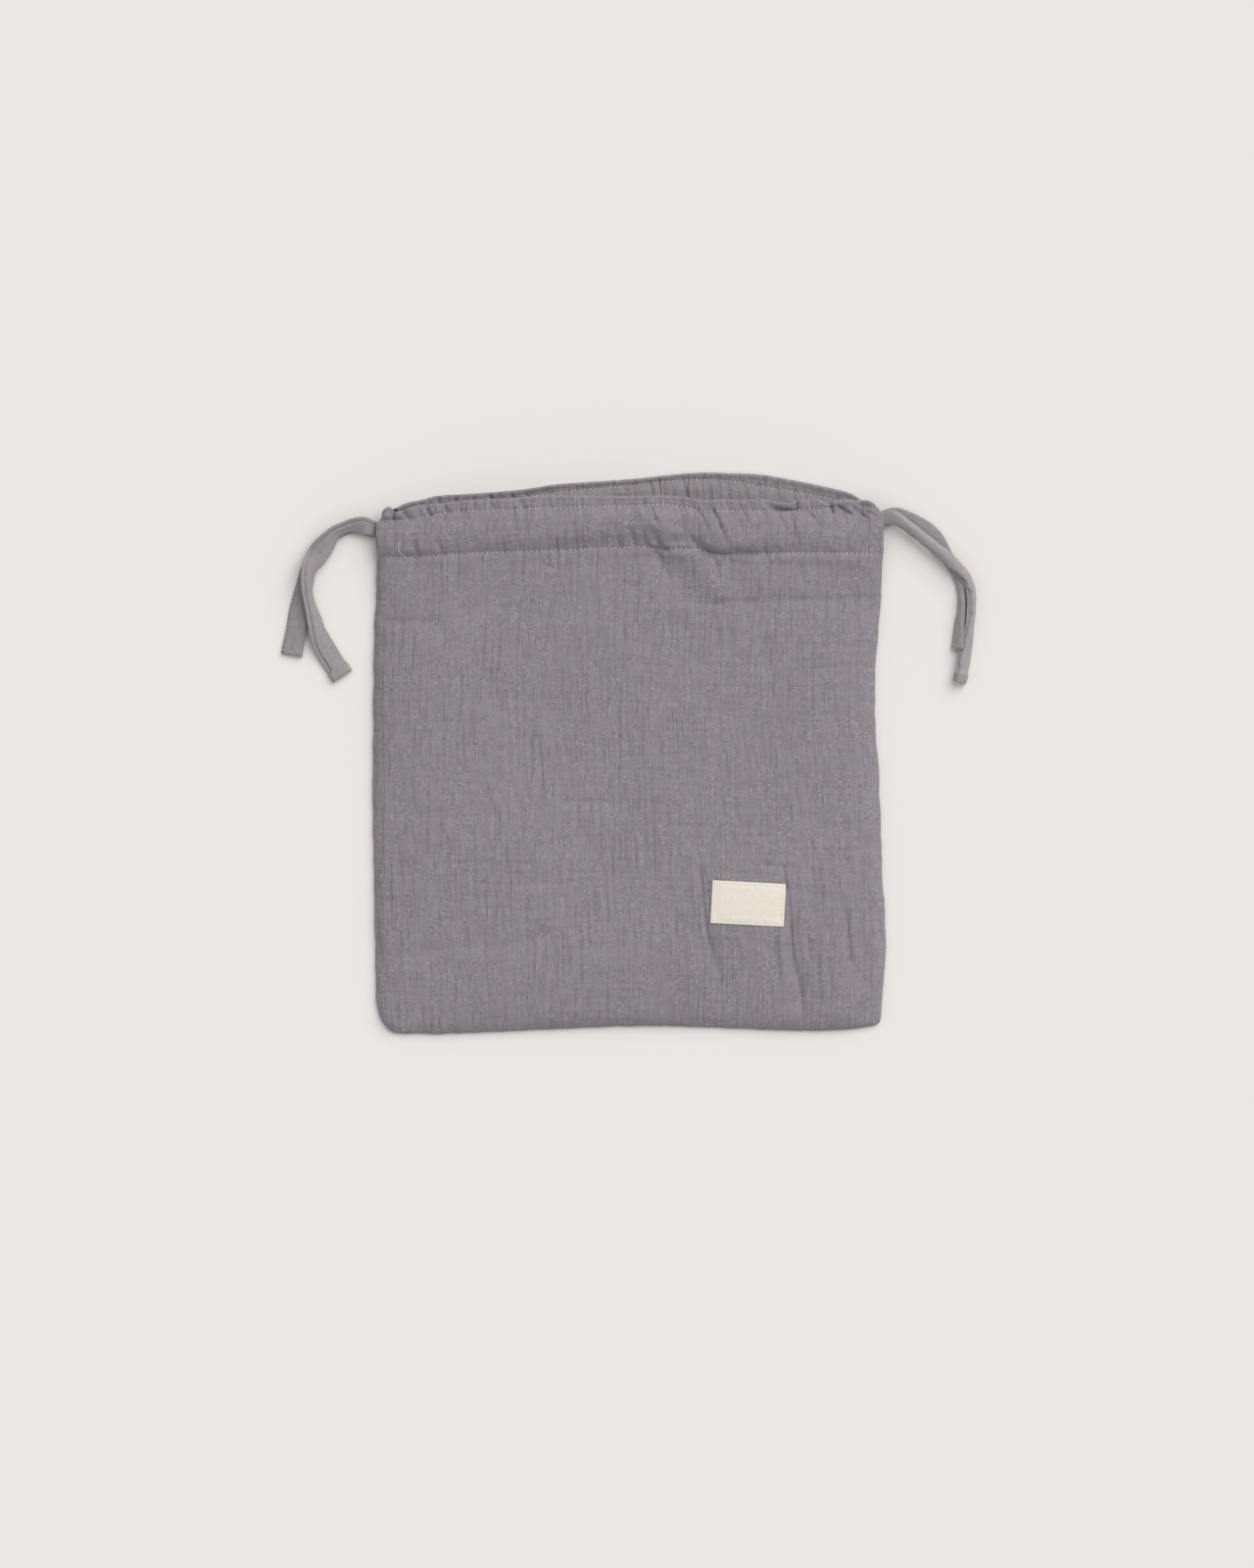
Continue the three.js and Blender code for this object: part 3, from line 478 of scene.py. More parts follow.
frontMouth = {
    "x": [-126, -121.5, -118.2, -116.4, -114.9, -112, -109, -103, -95, -88, -79, -69, -59, -44, -36, -1,
          17.5, 26.7, 38.2, 45, 54.4, 65.5, 70.5, 74, 77.5, 79.5, 82, 88.8, 93, 97.6, 100.4, 104.8, 110.4,
          116.4, 121, 126],
    "y": [118.6, 119.8, 120.9, 120.3, 118.8, 119.0, 120.0, 121.7, 122.2, 123.1, 124.0, 124.5, 125.0, 126.2,
          126.3, 126.0, 126.4, 125.6, 124.1, 124.5, 124.4, 124.7, 123.8, 123.2, 122.9, 122.8, 124.1, 124.9,
          124.4, 122.4, 123.6, 124.6, 124.4, 124.2, 123.5, 122.4],
}
frontStitch = {
    "x": [-126, -105, -92, -78, -59, -39, -14, 10, 18, 28, 36, 48, 67, 91, 103, 126],
    "low": [96.0, 96.1, 97.2, 97.9, 98.7, 99.3, 100.4, 101.0, 100.3, 100.0, 99.6, 97.9, 98.0, 98.0, 98.0,
            97.5],
    "high": [114.4, 115.3, 117.3, 118.6, 119.2, 120.2, 120.7, 121.6, 122.0, 120.4, 118.9, 118.7, 118.7,
             120.2, 121.2, 121.6],
}
backMouth = {
    "x": [-126, -117, -109, -102, -95, -80, -66, -51, -37, -23, -8, 6, 21, 35, 50, 64, 78, 93, 107, 111,
          116, 120, 126],
    "y": [118.0, 119.6, 123.1, 124.5, 126.4, 127.4, 128.4, 129.8, 132.0, 133.1, 134.1, 135.2, 136.9, 137.9,
          137.6, 137.0, 134.7, 131.7, 128.4, 126.7, 124.7, 123.4, 122.6],
}
backStitch = {
    "x": [-126, -95, -66, -25, -5, 8, 23, 35, 48, 58, 67, 78, 93, 126],
    "low": [96.0, 101.6, 103.4, 108.4, 110.2, 111.4, 112.9, 113.2, 112.6, 111.2, 109.6, 107.6, 104.6, 98.8],
    "high": [115.0, 121.8, 124.0, 129.2, 130.8, 132.2, 133.7, 134.2, 133.7, 132.3, 130.5, 128.7, 126.1,
             119.6],
}
# The front's casing along x: how far it climbs from the lower to the upper stitches, how far it bulges over
# the ties and how late (below 1 it is steep at the lower stitches), how far it hangs over them, and the bead
# below them
casingForm = {
    "x": [-126, -112, -93, -69, -35, -3, 8, 13, 17, 22, 30, 35, 38, 43, 48, 56, 71, 80, 89, 100, 112, 118,
          126],
    "climb": [0.4, 1.1, 1.8, 2.2, 2.5, 2.8, 3.0, 3.1, 3.0, 2.6, 2.4, 2.7, 3.0, 3.2, 3.0, 2.7, 2.0, 1.3,
              0.6, -0.5, -1.3, -0.8, -0.3],
    "bulge": [1.7, 2.5, 2.4, 2.5, 2.7, 3.1, 3.5, 3.8, 3.7, 2.7, 2.5, 3.1, 3.4, 3.7, 3.6, 3.4, 3.0, 2.6,
              2.4, 2.1, 1.9, 1.7, 1.4],
    "late": [0.9, 0.85, 0.85, 0.92, 1.0, 1.2, 1.25, 1.15, 0.95, 1.1, 1.2, 1.0, 0.85, 0.8, 0.8, 0.85, 0.9,
             0.95, 0.95, 1.0, 1.1, 1.4, 1.4],
    "over": [0, 0, 0, 0, 0, 0, 0.3, 1.7, 1.9, 0.3, 0.1, 0.7, 1.9, 2.5, 1.7, 0.6, 0.4, 0.1, 0, 0, 0, 0, 0],
    "bead": [0.2, 0.3, 0.4, 0.3, 0.3, 0.5, 0.4, 0.1, 0.2, 0.8, 0.9, 0.5, 0.4, 0.5, 0.5, 0.7, 1.3, 1.1, 0.9,
             0.7, 0.6, 0.4, 0.3],
}
bulgeForm = {
    "share": [0, 0.05, 0.1, 0.19, 0.28, 0.38, 0.5, 0.61, 0.7, 0.8, 0.9, 1.0],
    "full": [0, 0.10, 0.26, 0.60, 0.87, 1.0, 0.96, 0.86, 0.73, 0.52, 0.25, 0],
}
cornerRadii = {  # across and up
    "front": {"bottomLeft": (11, 19), "bottomRight": (4, 4), "topLeft": (3.4, 3.4), "topRight": (4, 4)},
    "back": {"bottomLeft": (10.1, 18.1), "bottomRight": (3.1, 3.1), "topLeft": (6, 6), "topRight": (11, 11)},
}
backCrossing = {"x": -60, "flat": 28, "ramp": 26}  # where the ties change places in the back's casing
tiePlace = {  # how high each tie lies in the casing, as a share of it
    "front": {"x": [-126, -90, -2, 58, 95, 112, 120, 126],
              "left": [0.72, 0.69, 0.66, 0.27, 0.27, 0.27, 0.27, 0.27],
              "right": [0.27, 0.27, 0.27, 0.62, 0.57, 0.57, 0.68, 0.72]},
    "back": {"x": [-126, -90, -30, 90, 126], "left": [0.71, 0.67, 0.27, 0.27, 0.27],
             "right": [0.27, 0.27, 0.66, 0.68, 0.74]},
}

# Creases listed one by one, from x0, y0 to x1, y1: rise is up or down, width is how far they reach to one
# side
bodyCreases = [  # x0, y0, x1, y1, rise, width
    (28, 99, 45, 80, 1.3, 7), (11, 98, 27, 84, -1.1, 6), (-104, 103, -104, 92, -0.9, 4),
    (98, 86, 117, 75, -1.0, 8), (26, 76, 119, 71, -0.8, 6), (-119, 66, -95, 63, -0.6, 6),
    (-64, 26, -39, 26, -0.5, 6), (-32, -22, 0, -26, -0.5, 6), (-121, -99, -40, -90, -0.8, 6),
    (84, -90, 84, -122, -0.9, 5), (100, -56, 100, -120, 0.8, 9), (38, -96, 45, -112, -0.7, 6),
    (110, -83, 117, -128, -0.7, 6),
]
# The finer ones: width is 0.9 where it is left out, and a lean above 0 widens the side right of their way
fineCreases = [
    # below the lower stitches
    (13.5, 98.6, 18.9, 88, -0.9, 1.7, 0.1), (39.6, 97.4, 43.3, 92.7, -0.7, 1.0),
    (43.3, 92.7, 44.3, 84, -0.7, 1.0), (46, 97.3, 49.5, 94.0, -0.6, 1.1),
    (49.5, 94.2, 54, 93.7, -0.4, 1.0), (30.8, 95.5, 31.4, 88, -0.5), (62, 96.3, 69, 94.2, -0.7, 2.2),
    (74, 94.5, 75, 88, -0.5, 1.0), (82.5, 93.7, 85, 85, -0.6, 1.2), (111, 96, 114.5, 85, -0.6, 1.3),
    (92, 96, 93, 88, -0.4, 1.0), (101, 96, 103, 87, -0.4, 1.0), (-104.2, 95.5, -105.3, 91, -0.9, 1.5, 0.2),
    (-120, 87.8, -112, 86.4, -0.6, 1.3), (-60, 97, -59, 88, -0.4, 1.0), (-20, 98, -19, 90, -0.4, 1.0),
    (3, 98, 4.5, 88, -0.35, 1.0), (60, 92, 61, 84, -0.3, 1.0),
    # long cross creases
    (24, 74.6, 44, 73.6, -0.45, 1.5), (42, 73.4, 60, 74.0, -0.6, 1.4),
    (60, 73.6, 84, 75.4, -0.45, 1.6, 0.1), (84, 75.2, 119, 76.8, -0.6, 1.5, 0.3),
    (96, 80.6, 121, 81.4, -0.45, 1.2), (43, 85.2, 80, 84.8, -0.45, 1.3), (82, 85, 121, 86, -0.5, 1.3),
    (-119, 64.3, -95, 64.6, -0.6, 1.4), (-63.6, 25.8, -39.5, 26.0, -0.5, 1.3),
    (-32, -23.8, -1, -24.8, -0.5, 1.3), (-54, -64.3, -32, -64.3, -0.4, 1.2),
    (-121, -99.5, -96, -97.6, -0.4, 1.4), (-95, -96.2, -70, -94.2, -0.3, 1.5),
    (-68, -95.0, -40, -89.8, -0.42, 1.4), (66, -55.2, 81, -56, -0.7, 1.3), (95, 40, 120, 42, -0.4, 1.3),
    (-10, 48, 24, 46.5, -0.35, 1.2), (50, 18, 90, 16, -0.35, 1.2), (-112, -30, -84, -28, -0.4, 1.3),
    (90, -20, 121, -17, -0.4, 1.3),
    # folds beside and below the label
    (75.6, -56, 77.2, -66, -0.96, 0.96), (77.2, -66, 79.6, -86, -0.6, 0.96),
    (79.5, -86, 80.6, -102, -1.44, 1.04), (80.6, -102, 84.8, -118.3, -1.44, 1.12),
    (84.8, -118, 85.6, -128, -0.72, 1.12), (74, -90, 77.2, -112, 0.72, 1.12),
    (84.2, -88, 88.6, -112, 0.6, 1.44), (71, -92, 73.8, -111.5, -0.72, 0.8),
    (67.6, -95, 70.6, -105, -0.6, 0.8), (106, -77, 108.4, -100.4, -0.96, 0.96),
    (108.4, -100.4, 113.4, -109, -1.08, 1.12), (109.6, -78, 111.6, -98, 0.6, 1.44),
    (121.6, -79.5, 123.2, -84, -1.44, 0.88), (34.6, -58, 37.6, -81.2, -0.72, 0.96),
    (37.6, -81.2, 39.7, -99.7, -0.84, 1.04), (37, -84, 45.4, -112, -0.6, 1.12),
    (53, -90, 55, -108, -0.48, 0.8), (92, -100, 94, -120, -0.72, 0.96),
    (97.6, -102, 98.6, -118, -0.48, 0.8), (61, -97, 62, -112, -0.48, 0.8),
    (90, -58, 91.5, -78, -0.6, 1.04), (84, -56, 86, -76, 0.48, 1.28), (117, -92, 118.6, -106, -0.48, 0.96),
    # gathers that hang from the upper stitches
    (11.6, 119.4, 13.3, 114.8, -1.0, 0.9, 0.4), (13.3, 114.8, 16.6, 108.4, -0.9, 1.1, 0.4),
    (34.1, 118.5, 39.1, 110.2, -0.8), (36.6, 117.8, 41.4, 108.5, 0.4, 1.3),
    (41.8, 118.4, 45.1, 111.1, -1.2, 0.9, 0.3), (45.1, 111.1, 47.4, 105.4, -0.9, 1.0, 0.3),
    (44.6, 117.8, 48.6, 108, 0.4, 1.4), (52, 118.5, 55.4, 110, -0.7, 1.0),
    (57.1, 117.8, 59.6, 109.6, -0.7), (66, 118, 68.5, 111, -0.5), (73.4, 117.6, 76.8, 109.5, -0.7, 1.0),
    (79.4, 115.6, 82.8, 104, -0.9, 1.0, 0.3), (86.1, 119, 90, 116, -0.9, 0.8), (90, 116, 94, 111.6, -0.7),
    (98, 118.6, 101, 112.5, -0.5), (104.8, 116.8, 107.4, 112.6, -0.6), (109.6, 117.4, 114, 112.6, -0.5),
    (115, 113.6, 117.6, 110, -0.4), (-56.8, 118.6, -55.9, 110.8, -0.7, 1.0),
    (-51.3, 119, -50.4, 110, -0.6), (-91, 116.4, -88.4, 107.5, -0.6, 1.0), (-98, 115.6, -96.6, 109, -0.4),
    (-82, 117.6, -81, 111, -0.4), (-71, 118.4, -70, 111, -0.4), (-42, 119.6, -41, 112, -0.4),
    (-30, 120, -29, 112.6, -0.35), (-14.5, 110, -13, 102, -0.6, 1.0), (1, 120.4, 3, 112, -0.45),
    (24, 120, 27, 111, -0.5, 1.0), (-116, 112, -115, 103, -0.4, 1.3),
    # folds of the casing that hang over the lower stitches
    (-6.7, 110, -4.6, 101.4, -1.0, 1.1), (0.9, 108.6, 3.0, 102.6, -1.3, 1.3, 0.1),
    (6.9, 108.4, 9.2, 102.2, -1.1, 1.2, 0.2), (12.4, 108.4, 17.0, 101.8, -1.9, 1.9, 0.4),
    (15, 106.4, 22, 104.2, -1.1, 1.6), (13, 109.6, 32, 106.2, 0.4, 1.3, -0.5),
    (21.5, 102.4, 30, 102.0, 1.0, 1.7), (31, 106, 33.6, 101.6, -1.4, 1.0, 0.2),
    (34.2, 104.4, 38.4, 101.4, -1.2, 1.7), (38.4, 101.4, 51, 100.8, -1.0, 2.1),
    (-104.5, 101.6, -103.2, 97.4, -1.5, 1.7, 0.3), (-94.2, 103.4, -91, 97.6, -0.7, 1.0),
    (-80, 103.6, -74, 103.2, -0.5, 1.2), (-84, 102, -83, 97.8, -0.5), (-62, 103, -61.4, 98.8, -0.5),
    (-36, 104.5, -35.4, 100, -0.5), (-26, 104.5, -25.6, 100, -0.5), (66, 104, 67, 98.6, -0.6),
    (58.6, 104, 59.6, 98.6, -0.5), (88, 104, 89, 98.6, -0.4), (-112, 104, -110.4, 98, -0.4, 1.6),
]
# gathers and lobes between the upper stitches and the mouth edge of the front
headingCreases = [
    (-118.6, 118.6, -118.5, 116.4, 1.9, 2.6), (-115.5, 121, -115.5, 114.6, -2.3, 1.0),
    (-122, 114.9, -110, 114.2, -1.0, 0.8), (-111.6, 118.6, -107.2, 114.6, -1.4, 1.1),
    (-103.9, 120, -102, 116.2, -0.9, 1.0), (-99.6, 121.6, -96.8, 116.4, -1.7, 1.0, 0.3),
    (-90.9, 123.4, -88.8, 118.6, -1.6, 1.0, 0.3), (-85.6, 122.6, -82.6, 119, -0.8, 1.4),
    (-77.5, 124, -75.4, 120, -0.8, 1.0), (-69, 124.6, -67, 120.4, -0.9, 1.0),
    (-54.6, 125.4, -51.6, 120.4, -1.2, 1.0), (-40, 126.4, -38.6, 121, -0.6),
    (-24, 126.4, -23, 121.5, -0.5), (-8, 126.4, -7, 122, -0.4), (6, 126.4, 7, 122, -0.5),
    (24, 126, 26.4, 121, -0.6), (38, 124.6, 39, 119.6, -0.4, 0.8), (47, 124.7, 48.4, 119.6, -0.5, 0.8),
    (60, 125.2, 61, 119.6, -0.5, 0.8), (67, 125, 68.4, 119.6, -0.5), (72, 122.6, 79.4, 122.2, 1.0, 1.3),
    (71.4, 119.9, 81.6, 118.5, -2.2, 1.3, 0.2), (82.3, 122.4, 82.6, 118, -1.8, 0.8),
    (86, 122.6, 93, 122.4, 1.0, 2.2), (97.8, 123, 99.8, 118.4, -2.0, 1.1),
    (89, 119.4, 95, 119.2, -0.4, 0.8), (101.4, 122.6, 110, 123.0, 1.1, 2.2),
    (103.5, 120.9, 108.2, 117.7, -2.6, 1.05, 0.35), (111.1, 119.9, 115.9, 116.0, -2.3, 1.0, 0.35),
    (113.6, 124.4, 114.4, 119.4, -1.1, 1.2, 0.3), (118.4, 122.0, 119.6, 119.0, 1.3, 2.2),
    (117.2, 118.4, 119.6, 117.4, -1.1, 0.8), (106.4, 119.2, 110.2, 120.8, 0.6, 1.4),
    (100.6, 117.4, 104.4, 114.6, -0.7, 1.1),
]
# gathers of the back's heading and inner casing
backCreases = [
    (-94.7, 127.4, -92.6, 121, -1.4, 1.0, 0.3), (-86.3, 128, -84, 121.6, -1.4, 1.0, 0.3),
    (-77.5, 128.6, -75.2, 122, -1.3, 1.0, 0.3), (-69.1, 129, -66.6, 123, -1.4, 1.0, 0.3),
    (-59, 130, -56.4, 124, -1.2, 1.0, 0.3), (-52, 130.4, -49.6, 124.6, -0.9),
    (-43, 131.6, -41.6, 125, -0.6), (-26.5, 133.6, -25.4, 126, -1.1), (-17, 134, -16, 127, -0.5),
    (-12, 134, -11, 127, -0.4, 0.8), (2, 132.5, 3, 124, -0.5), (10.6, 132, 11.6, 126, -0.9),
    (14.6, 133.5, 15.8, 124, -0.7), (26.6, 133.4, 28.4, 125, -0.9), (32, 134.6, 33, 126, -0.6),
    (38, 134.4, 39.8, 125, -0.7), (47, 134, 49, 124, -0.7), (56, 133, 58, 124, -0.7),
    (63.4, 131, 64, 124, -0.9), (72, 131, 73, 124, -0.6), (80, 130, 81, 124, -0.5),
    (-104, 125.6, -101.6, 120, -0.9, 1.0), (93, 131, 91, 124, -0.6, 1.0), (106, 128, 103, 123, -0.8, 1.0),
]


def unevenEdge(table, at, name, start, uneven):
    # an edge with the small unevenness of crinkled cloth
    smooth = curveThrough(table, at, name)

    def read(value):
        value = np.asarray(value, float)
        fine = softNoise(value, 0 * value, 3.8, 1, start + 1)
        return smooth(value) + uneven * (softNoise(value, 0 * value, 7.5, 1, start) + 0.7 * fine)

    return read


climbOf, bulgeOf, lateOf, hangOf, beadOf = (curveThrough(casingForm, "x", name)
                                            for name in ("climb", "bulge", "late", "over", "bead"))
fullOf = curveThrough(bulgeForm, "share", "full")
leftOf = unevenEdge(sideEdge, "y", "left", 31, 0.32)
rightOf = unevenEdge(sideEdge, "y", "right", 35, 0.5)
bottomOf = unevenEdge(bottomEdge, "x", "y", 39, 0.2)


def panelLines(name, mouth, stitch):
    lines = {"name": name, "mouth": curveThrough(mouth, "x", "y")}
    lines.update((row, curveThrough(stitch, "x", row)) for row in ("low", "high"))
    lines.update((tie, curveThrough(tiePlace[name], "x", tie)) for tie in ("left", "right"))
    return lines


front = panelLines("front", frontMouth, frontStitch)
back = panelLines("back", backMouth, backStitch)


def fromCrease(x, y, x0, y0, x1, y1):
    # how far past a crease's ends and how far beside it
    length = math.hypot(x1 - x0, y1 - y0)
    ahead = ((x1 - x0) / length, (y1 - y0) / length)
    along = (x - x0) * ahead[0] + (y - y0) * ahead[1]
    across = (x - x0) * ahead[1] - (y - y0) * ahead[0]
    return np.maximum(np.maximum(-along, along - length), 0), across


def foldRise(x, y, x0, y0, x1, y1, rise, width=0.9, lean=0):
    past, across = fromCrease(x, y, x0, y0, x1, y1)
    side = width * (1 + lean * np.sign(across))
    return rise * np.exp(-(past / (1.4 * width))**2 - (across / side)**2)


def creaseRise(x, y, creases):
    return sum((foldRise(x, y, *crease) for crease in creases), np.zeros(np.broadcast(x, y).shape))


def blendAt(name, y, low):
    start, end = blends[name]
    return smoothStep(y, low + start, low + end)


def broadRise(x, y):
    # the solids' own main folds, faded out of the casing where they are troughs
    total = np.zeros(np.broadcast(x, y).shape)
    kept = 1 - blendAt("trough", y, front["low"](x))
    for x0, y0, x1, y1, rise, width in bodyCreases:
        past, across = fromCrease(x, y, x0, y0, x1, y1)
        total += rise * np.exp(-(past / width)**2 - (across / width)**2) * (kept if rise < 0 else 1)
    return total


def hemClimb(x, share):
    return climbOf(x) * smoothStep(share, 0, 1)


def frontSpacing(x, share):
    # between the two layers of the front: together at the stitches, apart over the ties
    late = np.clip(share, 0, 1)**lateOf(x)
    return cloth["solidThickness"] + cloth["layerGap"] + bulgeOf(x) * np.maximum(fullOf(late), 0)


def backSpacing(x, share):
    # the same for the back, wider where the ties change places
    t = np.clip(2 * share - 1, -1, 1)
    full = 1 - np.where(t < 0, np.abs(t)**5, np.abs(t)**3)
    flat = backCrossing["flat"]
    crossed = 1 - smoothStep(np.abs(x - backCrossing["x"]), flat, flat + backCrossing["ramp"])
    room = cloth["casingRoom"] - cloth["layerGap"] + cloth["crossingRoom"] * crossed
    return cloth["solidThickness"] + cloth["layerGap"] + room * full


def hemHeight(x):
    outwards = np.minimum(1, np.abs(x) / cloth["halfWidth"])
    return cloth["hemHeightAtSides"] + cloth["hemHeightRise"] * (1 - outwards**4)


def insets(x, y):
    half = cloth["solidThickness"] / 2
    return x - leftOf(y) - half, rightOf(y) - x - half, y - bottomOf(x) - half


def roll(distance, width):
    return np.sqrt(1 - (1 - np.clip(distance / width, 0, 1))**2)


def seamRise(y, low):
    return cloth["seamHeight"] + cloth["seamClimb"] * blendAt("seamClimb", y, low)


# Crinkle: rises in mm, and its noises by size across, size up and start
crinkles = {
    "pitch": 2.5, "rib": 0.16, "streak": 0.17, "pucker": 0.19, "broad": 0.5,
    "gather": 0.30, "gatherAtLow": 3.6, "gatherAtHigh": 4.5, "gatherRamp": 1.5,  # mm from the stitches
}
noises = {
    "waver": (13, 32, 1), "quiver": (5, 13, 2), "ribbed": (15, 30, 3), "pucker": (8, 2.9, 4),
    "widePucker": (17, 5.5, 5), "broad": (24, 29, 6), "lump": (10, 13, 7), "puckered": (28, 17, 8),
    "streak": (2.2, 9, 21), "wideStreak": (4.2, 22, 22), "gather": (2.1, 1, 51), "wideGather": (4.4, 40, 52),
    "tapeRipple": (2.2, 3.0, 5), "tapeWidth": (5, 1, 7), "tapeLip": (1.7, 1, 8), "wideTapeLip": (3.4, 1, 9),
    "labelEdge": (2.3, 2.3, 12),
}
bodyWaves = [(2.3, 1.1, 0.6, 0.45), (-1.4, 2.7, 2.1, 0.4), (4.6, -1.9, 4.0, 0.3)]  # across, up, start, rise


def noisy(name, x, y):
    return softNoise(x, y, *noises[name])


def crinkle(x, y):
    # upright ribs, stronger on the right, and cross puckers in patches
    waver = 2.4 * noisy("waver", x, y) + 1.1 * noisy("quiver", x, y)
    ribbed = 0.25 + 0.75 * smoothStep(noisy("ribbed", x, y), -0.5, 0.6)
    ribbed = ribbed * (0.45 + 0.55 * smoothStep(x, -60, 60))
    ribs = crinkles["rib"] * np.sin(2 * np.pi * x / crinkles["pitch"] + waver)
    streaks = crinkles["streak"] * (noisy("streak", x, y) + noisy("wideStreak", x, y))
    puckered = 0.35 + 0.9 * smoothStep(noisy("puckered", x, y), -0.3, 0.6)
    puckers = crinkles["pucker"] * (noisy("pucker", x, y) + 0.9 * noisy("widePucker", x, y))
    broad = crinkles["broad"] * (noisy("broad", x, y) + 0.55 * noisy("lump", x, y))
    return ribs * ribbed + streaks * (0.4 + 0.6 * ribbed) + puckers * puckered + broad


def gathered(panel, x, y):
    # small upright gathers that fade away from both rows of stitches
    low, high = panel["low"](x), panel["high"](x)
    ramp = crinkles["gatherRamp"]
    atLow, atHigh = (bell(y - row, reach) * (0.25 + 0.75 * np.minimum(1, np.abs(y - row) / ramp))
                     for row, reach in ((low, crinkles["gatherAtLow"]), (high, crinkles["gatherAtHigh"])))
    folds = noisy("gather", x + 0.25 * (y - high), 0 * x) + 0.5 * noisy("wideGather", x, y)
    return crinkles["gather"] * folds * (0.8 * atLow + atHigh)


def waveRise(x, y):
    turn = np.pi / cloth["halfWidth"]
    return sum(rise * np.sin(turn * (across * x + up * y) + start) for across, up, start, rise in bodyWaves)


def frontHeight(x, y, fine=True):
    # middle of the front's outer layer
    low, high = front["low"](x), front["high"](x)
    filled = edge = 1
    for inset in insets(x, y):
        filled = filled * (1 - np.exp(-np.maximum(inset, 0) / cloth["bodyRiseLength"]))
        edge = edge * roll(inset, cloth["seamRollWidth"])
    body = cloth["seamHeight"] + cloth["seamRollRise"] + (cloth["bodyRise"] + waveRise(x, y)) * filled
    share = (y - low) / (high - low)
    casing = hemHeight(x) + hemClimb(x, share) + frontSpacing(x, share)
    top = mix(body, casing, blendAt("casing", y, low)) + broadRise(x, y)
    if fine:
        detail = crinkle(x, y) + creaseRise(x, y, fineCreases) + gathered(front, x, y)
        sunk = bell(y - low, cloth["stitchWidth"]) + 0.7 * bell(y - high, cloth["stitchWidth"])
        detail = detail - cloth["stitchDepth"] * sunk
        detail = detail + beadOf(x) * bell(y - low + cloth["beadBelow"], cloth["beadWidth"])
        top = top + detail * (0.35 + 0.65 * edge)
    openEnd = mix(cloth["endHeight"], cloth["exitHeight"], blendAt("openEnd", y, low))
    rim = mix(seamRise(y, low) + cloth["seamAbove"], openEnd, blendAt("rim", y, low))
    return rim + (top - rim) * edge + cloth["lift"]


# Where the heading's gathers begin, below the upper stitches: lower at the right end, from turn on
gathering = {"below": 2.4, "belowAtRight": 7.5, "turn": (96, 102), "ramp": 3}


def frontSettle(x, y):
    # how much the gathers raise or sink all layers of the front's heading
    below = mix(gathering["below"], gathering["belowAtRight"], smoothStep(x, *gathering["turn"]))
    start = front["high"](x) - below
    return creaseRise(x, y, headingCreases) * smoothStep(y, start, start + gathering["ramp"])


def backRise(x, y):
    curl = 1 - roll(np.minimum.reduce(insets(x, y)), cloth["backCurl"])
    low = back["low"](x)
    flat = cloth["solidThickness"] / 2
    rim = mix(seamRise(y, low) - cloth["seamBelow"], flat, blendAt("rim", y, low))
    return flat - cloth["lift"] + curl * (rim - flat)


def roundCorners(points, panel):
    x, y = points[..., 0].copy(), points[..., 1].copy()
    sides = [("Left", x - leftOf(y), 1), ("Right", rightOf(y) - x, -1)]
    ends = [("bottom", y - bottomOf(x), 1), ("top", panel["mouth"](x) - y, -1)]
    for side, sideInset, sideSign in sides:
        for end, endInset, endSign in ends:
            reachX, reachY = cornerRadii[panel["name"]][end + side]
            a = np.clip(1 - sideInset / reachX, 0, None)
            b = np.clip(1 - endInset / reachY, 0, None)
            near = (a > 0) & (b > 0)
            inX = sideSign * reachX * a * (1 - np.sqrt(np.clip(1 - b * b / 2, 0, 1)))
            inY = endSign * reachY * b * (1 - np.sqrt(np.clip(1 - a * a / 2, 0, 1)))
            points[..., 0] += np.where(near, inX, 0)
            points[..., 1] += np.where(near, inY, 0)


def acrossPanel(panel, x0, y, setBack):
    reach, half = cloth["hemSetBackReach"], cloth["halfWidth"]
    drawnIn = cloth["solidThickness"] / 2 + (cloth["backDrawnIn"] if panel is back else 0)
    left = leftOf(y) + drawnIn
    right = rightOf(y) - drawnIn
    fromLeft, fromRight = x0 + half, half - x0
    squeeze = (reach - setBack) / reach
    middle = mix(left + reach, right - reach, (fromLeft - reach) / (2 * (half - reach)))
    return np.where(fromLeft < reach, left + setBack + fromLeft * squeeze,
                    np.where(fromRight < reach, right - setBack - fromRight * squeeze, middle))


def crowded(low, high, count, places, reach, gain):
    # count places between low and high, closer together near the given ones
    fine = np.linspace(low, high, 2000)
    weight = 1 + gain * np.minimum(1.4, sum((bell(fine - place, reach) for place in places), 0 * fine))
    total = np.concatenate([[0], np.cumsum((weight[1:] + weight[:-1]) / 2)])
    return np.interp(np.linspace(0, total[-1], count), total, fine)


def planRows(plan):
    # (layer, zone, value) of every row, from the bottom seam over the mouth and down the hem
    bodyShares = crowded(0, 1, plan["bodyRows"] + 2, plan["bodyFolds"], reach=0.022, gain=2.4)[1:-1]
    stretches = [
        ("outer", "bottom", plan["bottomSteps"]),
        ("outer", "body", bodyShares),
        ("outer", "under", [-step for step in plan["underSteps"]]),
        ("outer", "casing", plan["casingShares"]),
        ("outer", "heading", plan["headingShares"]),
        ("fold", "", np.linspace(0, np.pi, plan["foldSteps"] + 1)),
        ("inner", "heading", plan["innerShares"]),
        ("inner", "casing", plan["hemShares"]),
        ("inner", "under", [-cloth["hemTail"]]),
    ]
    return [(layer, zone, value) for layer, zone, values in stretches for value in values]


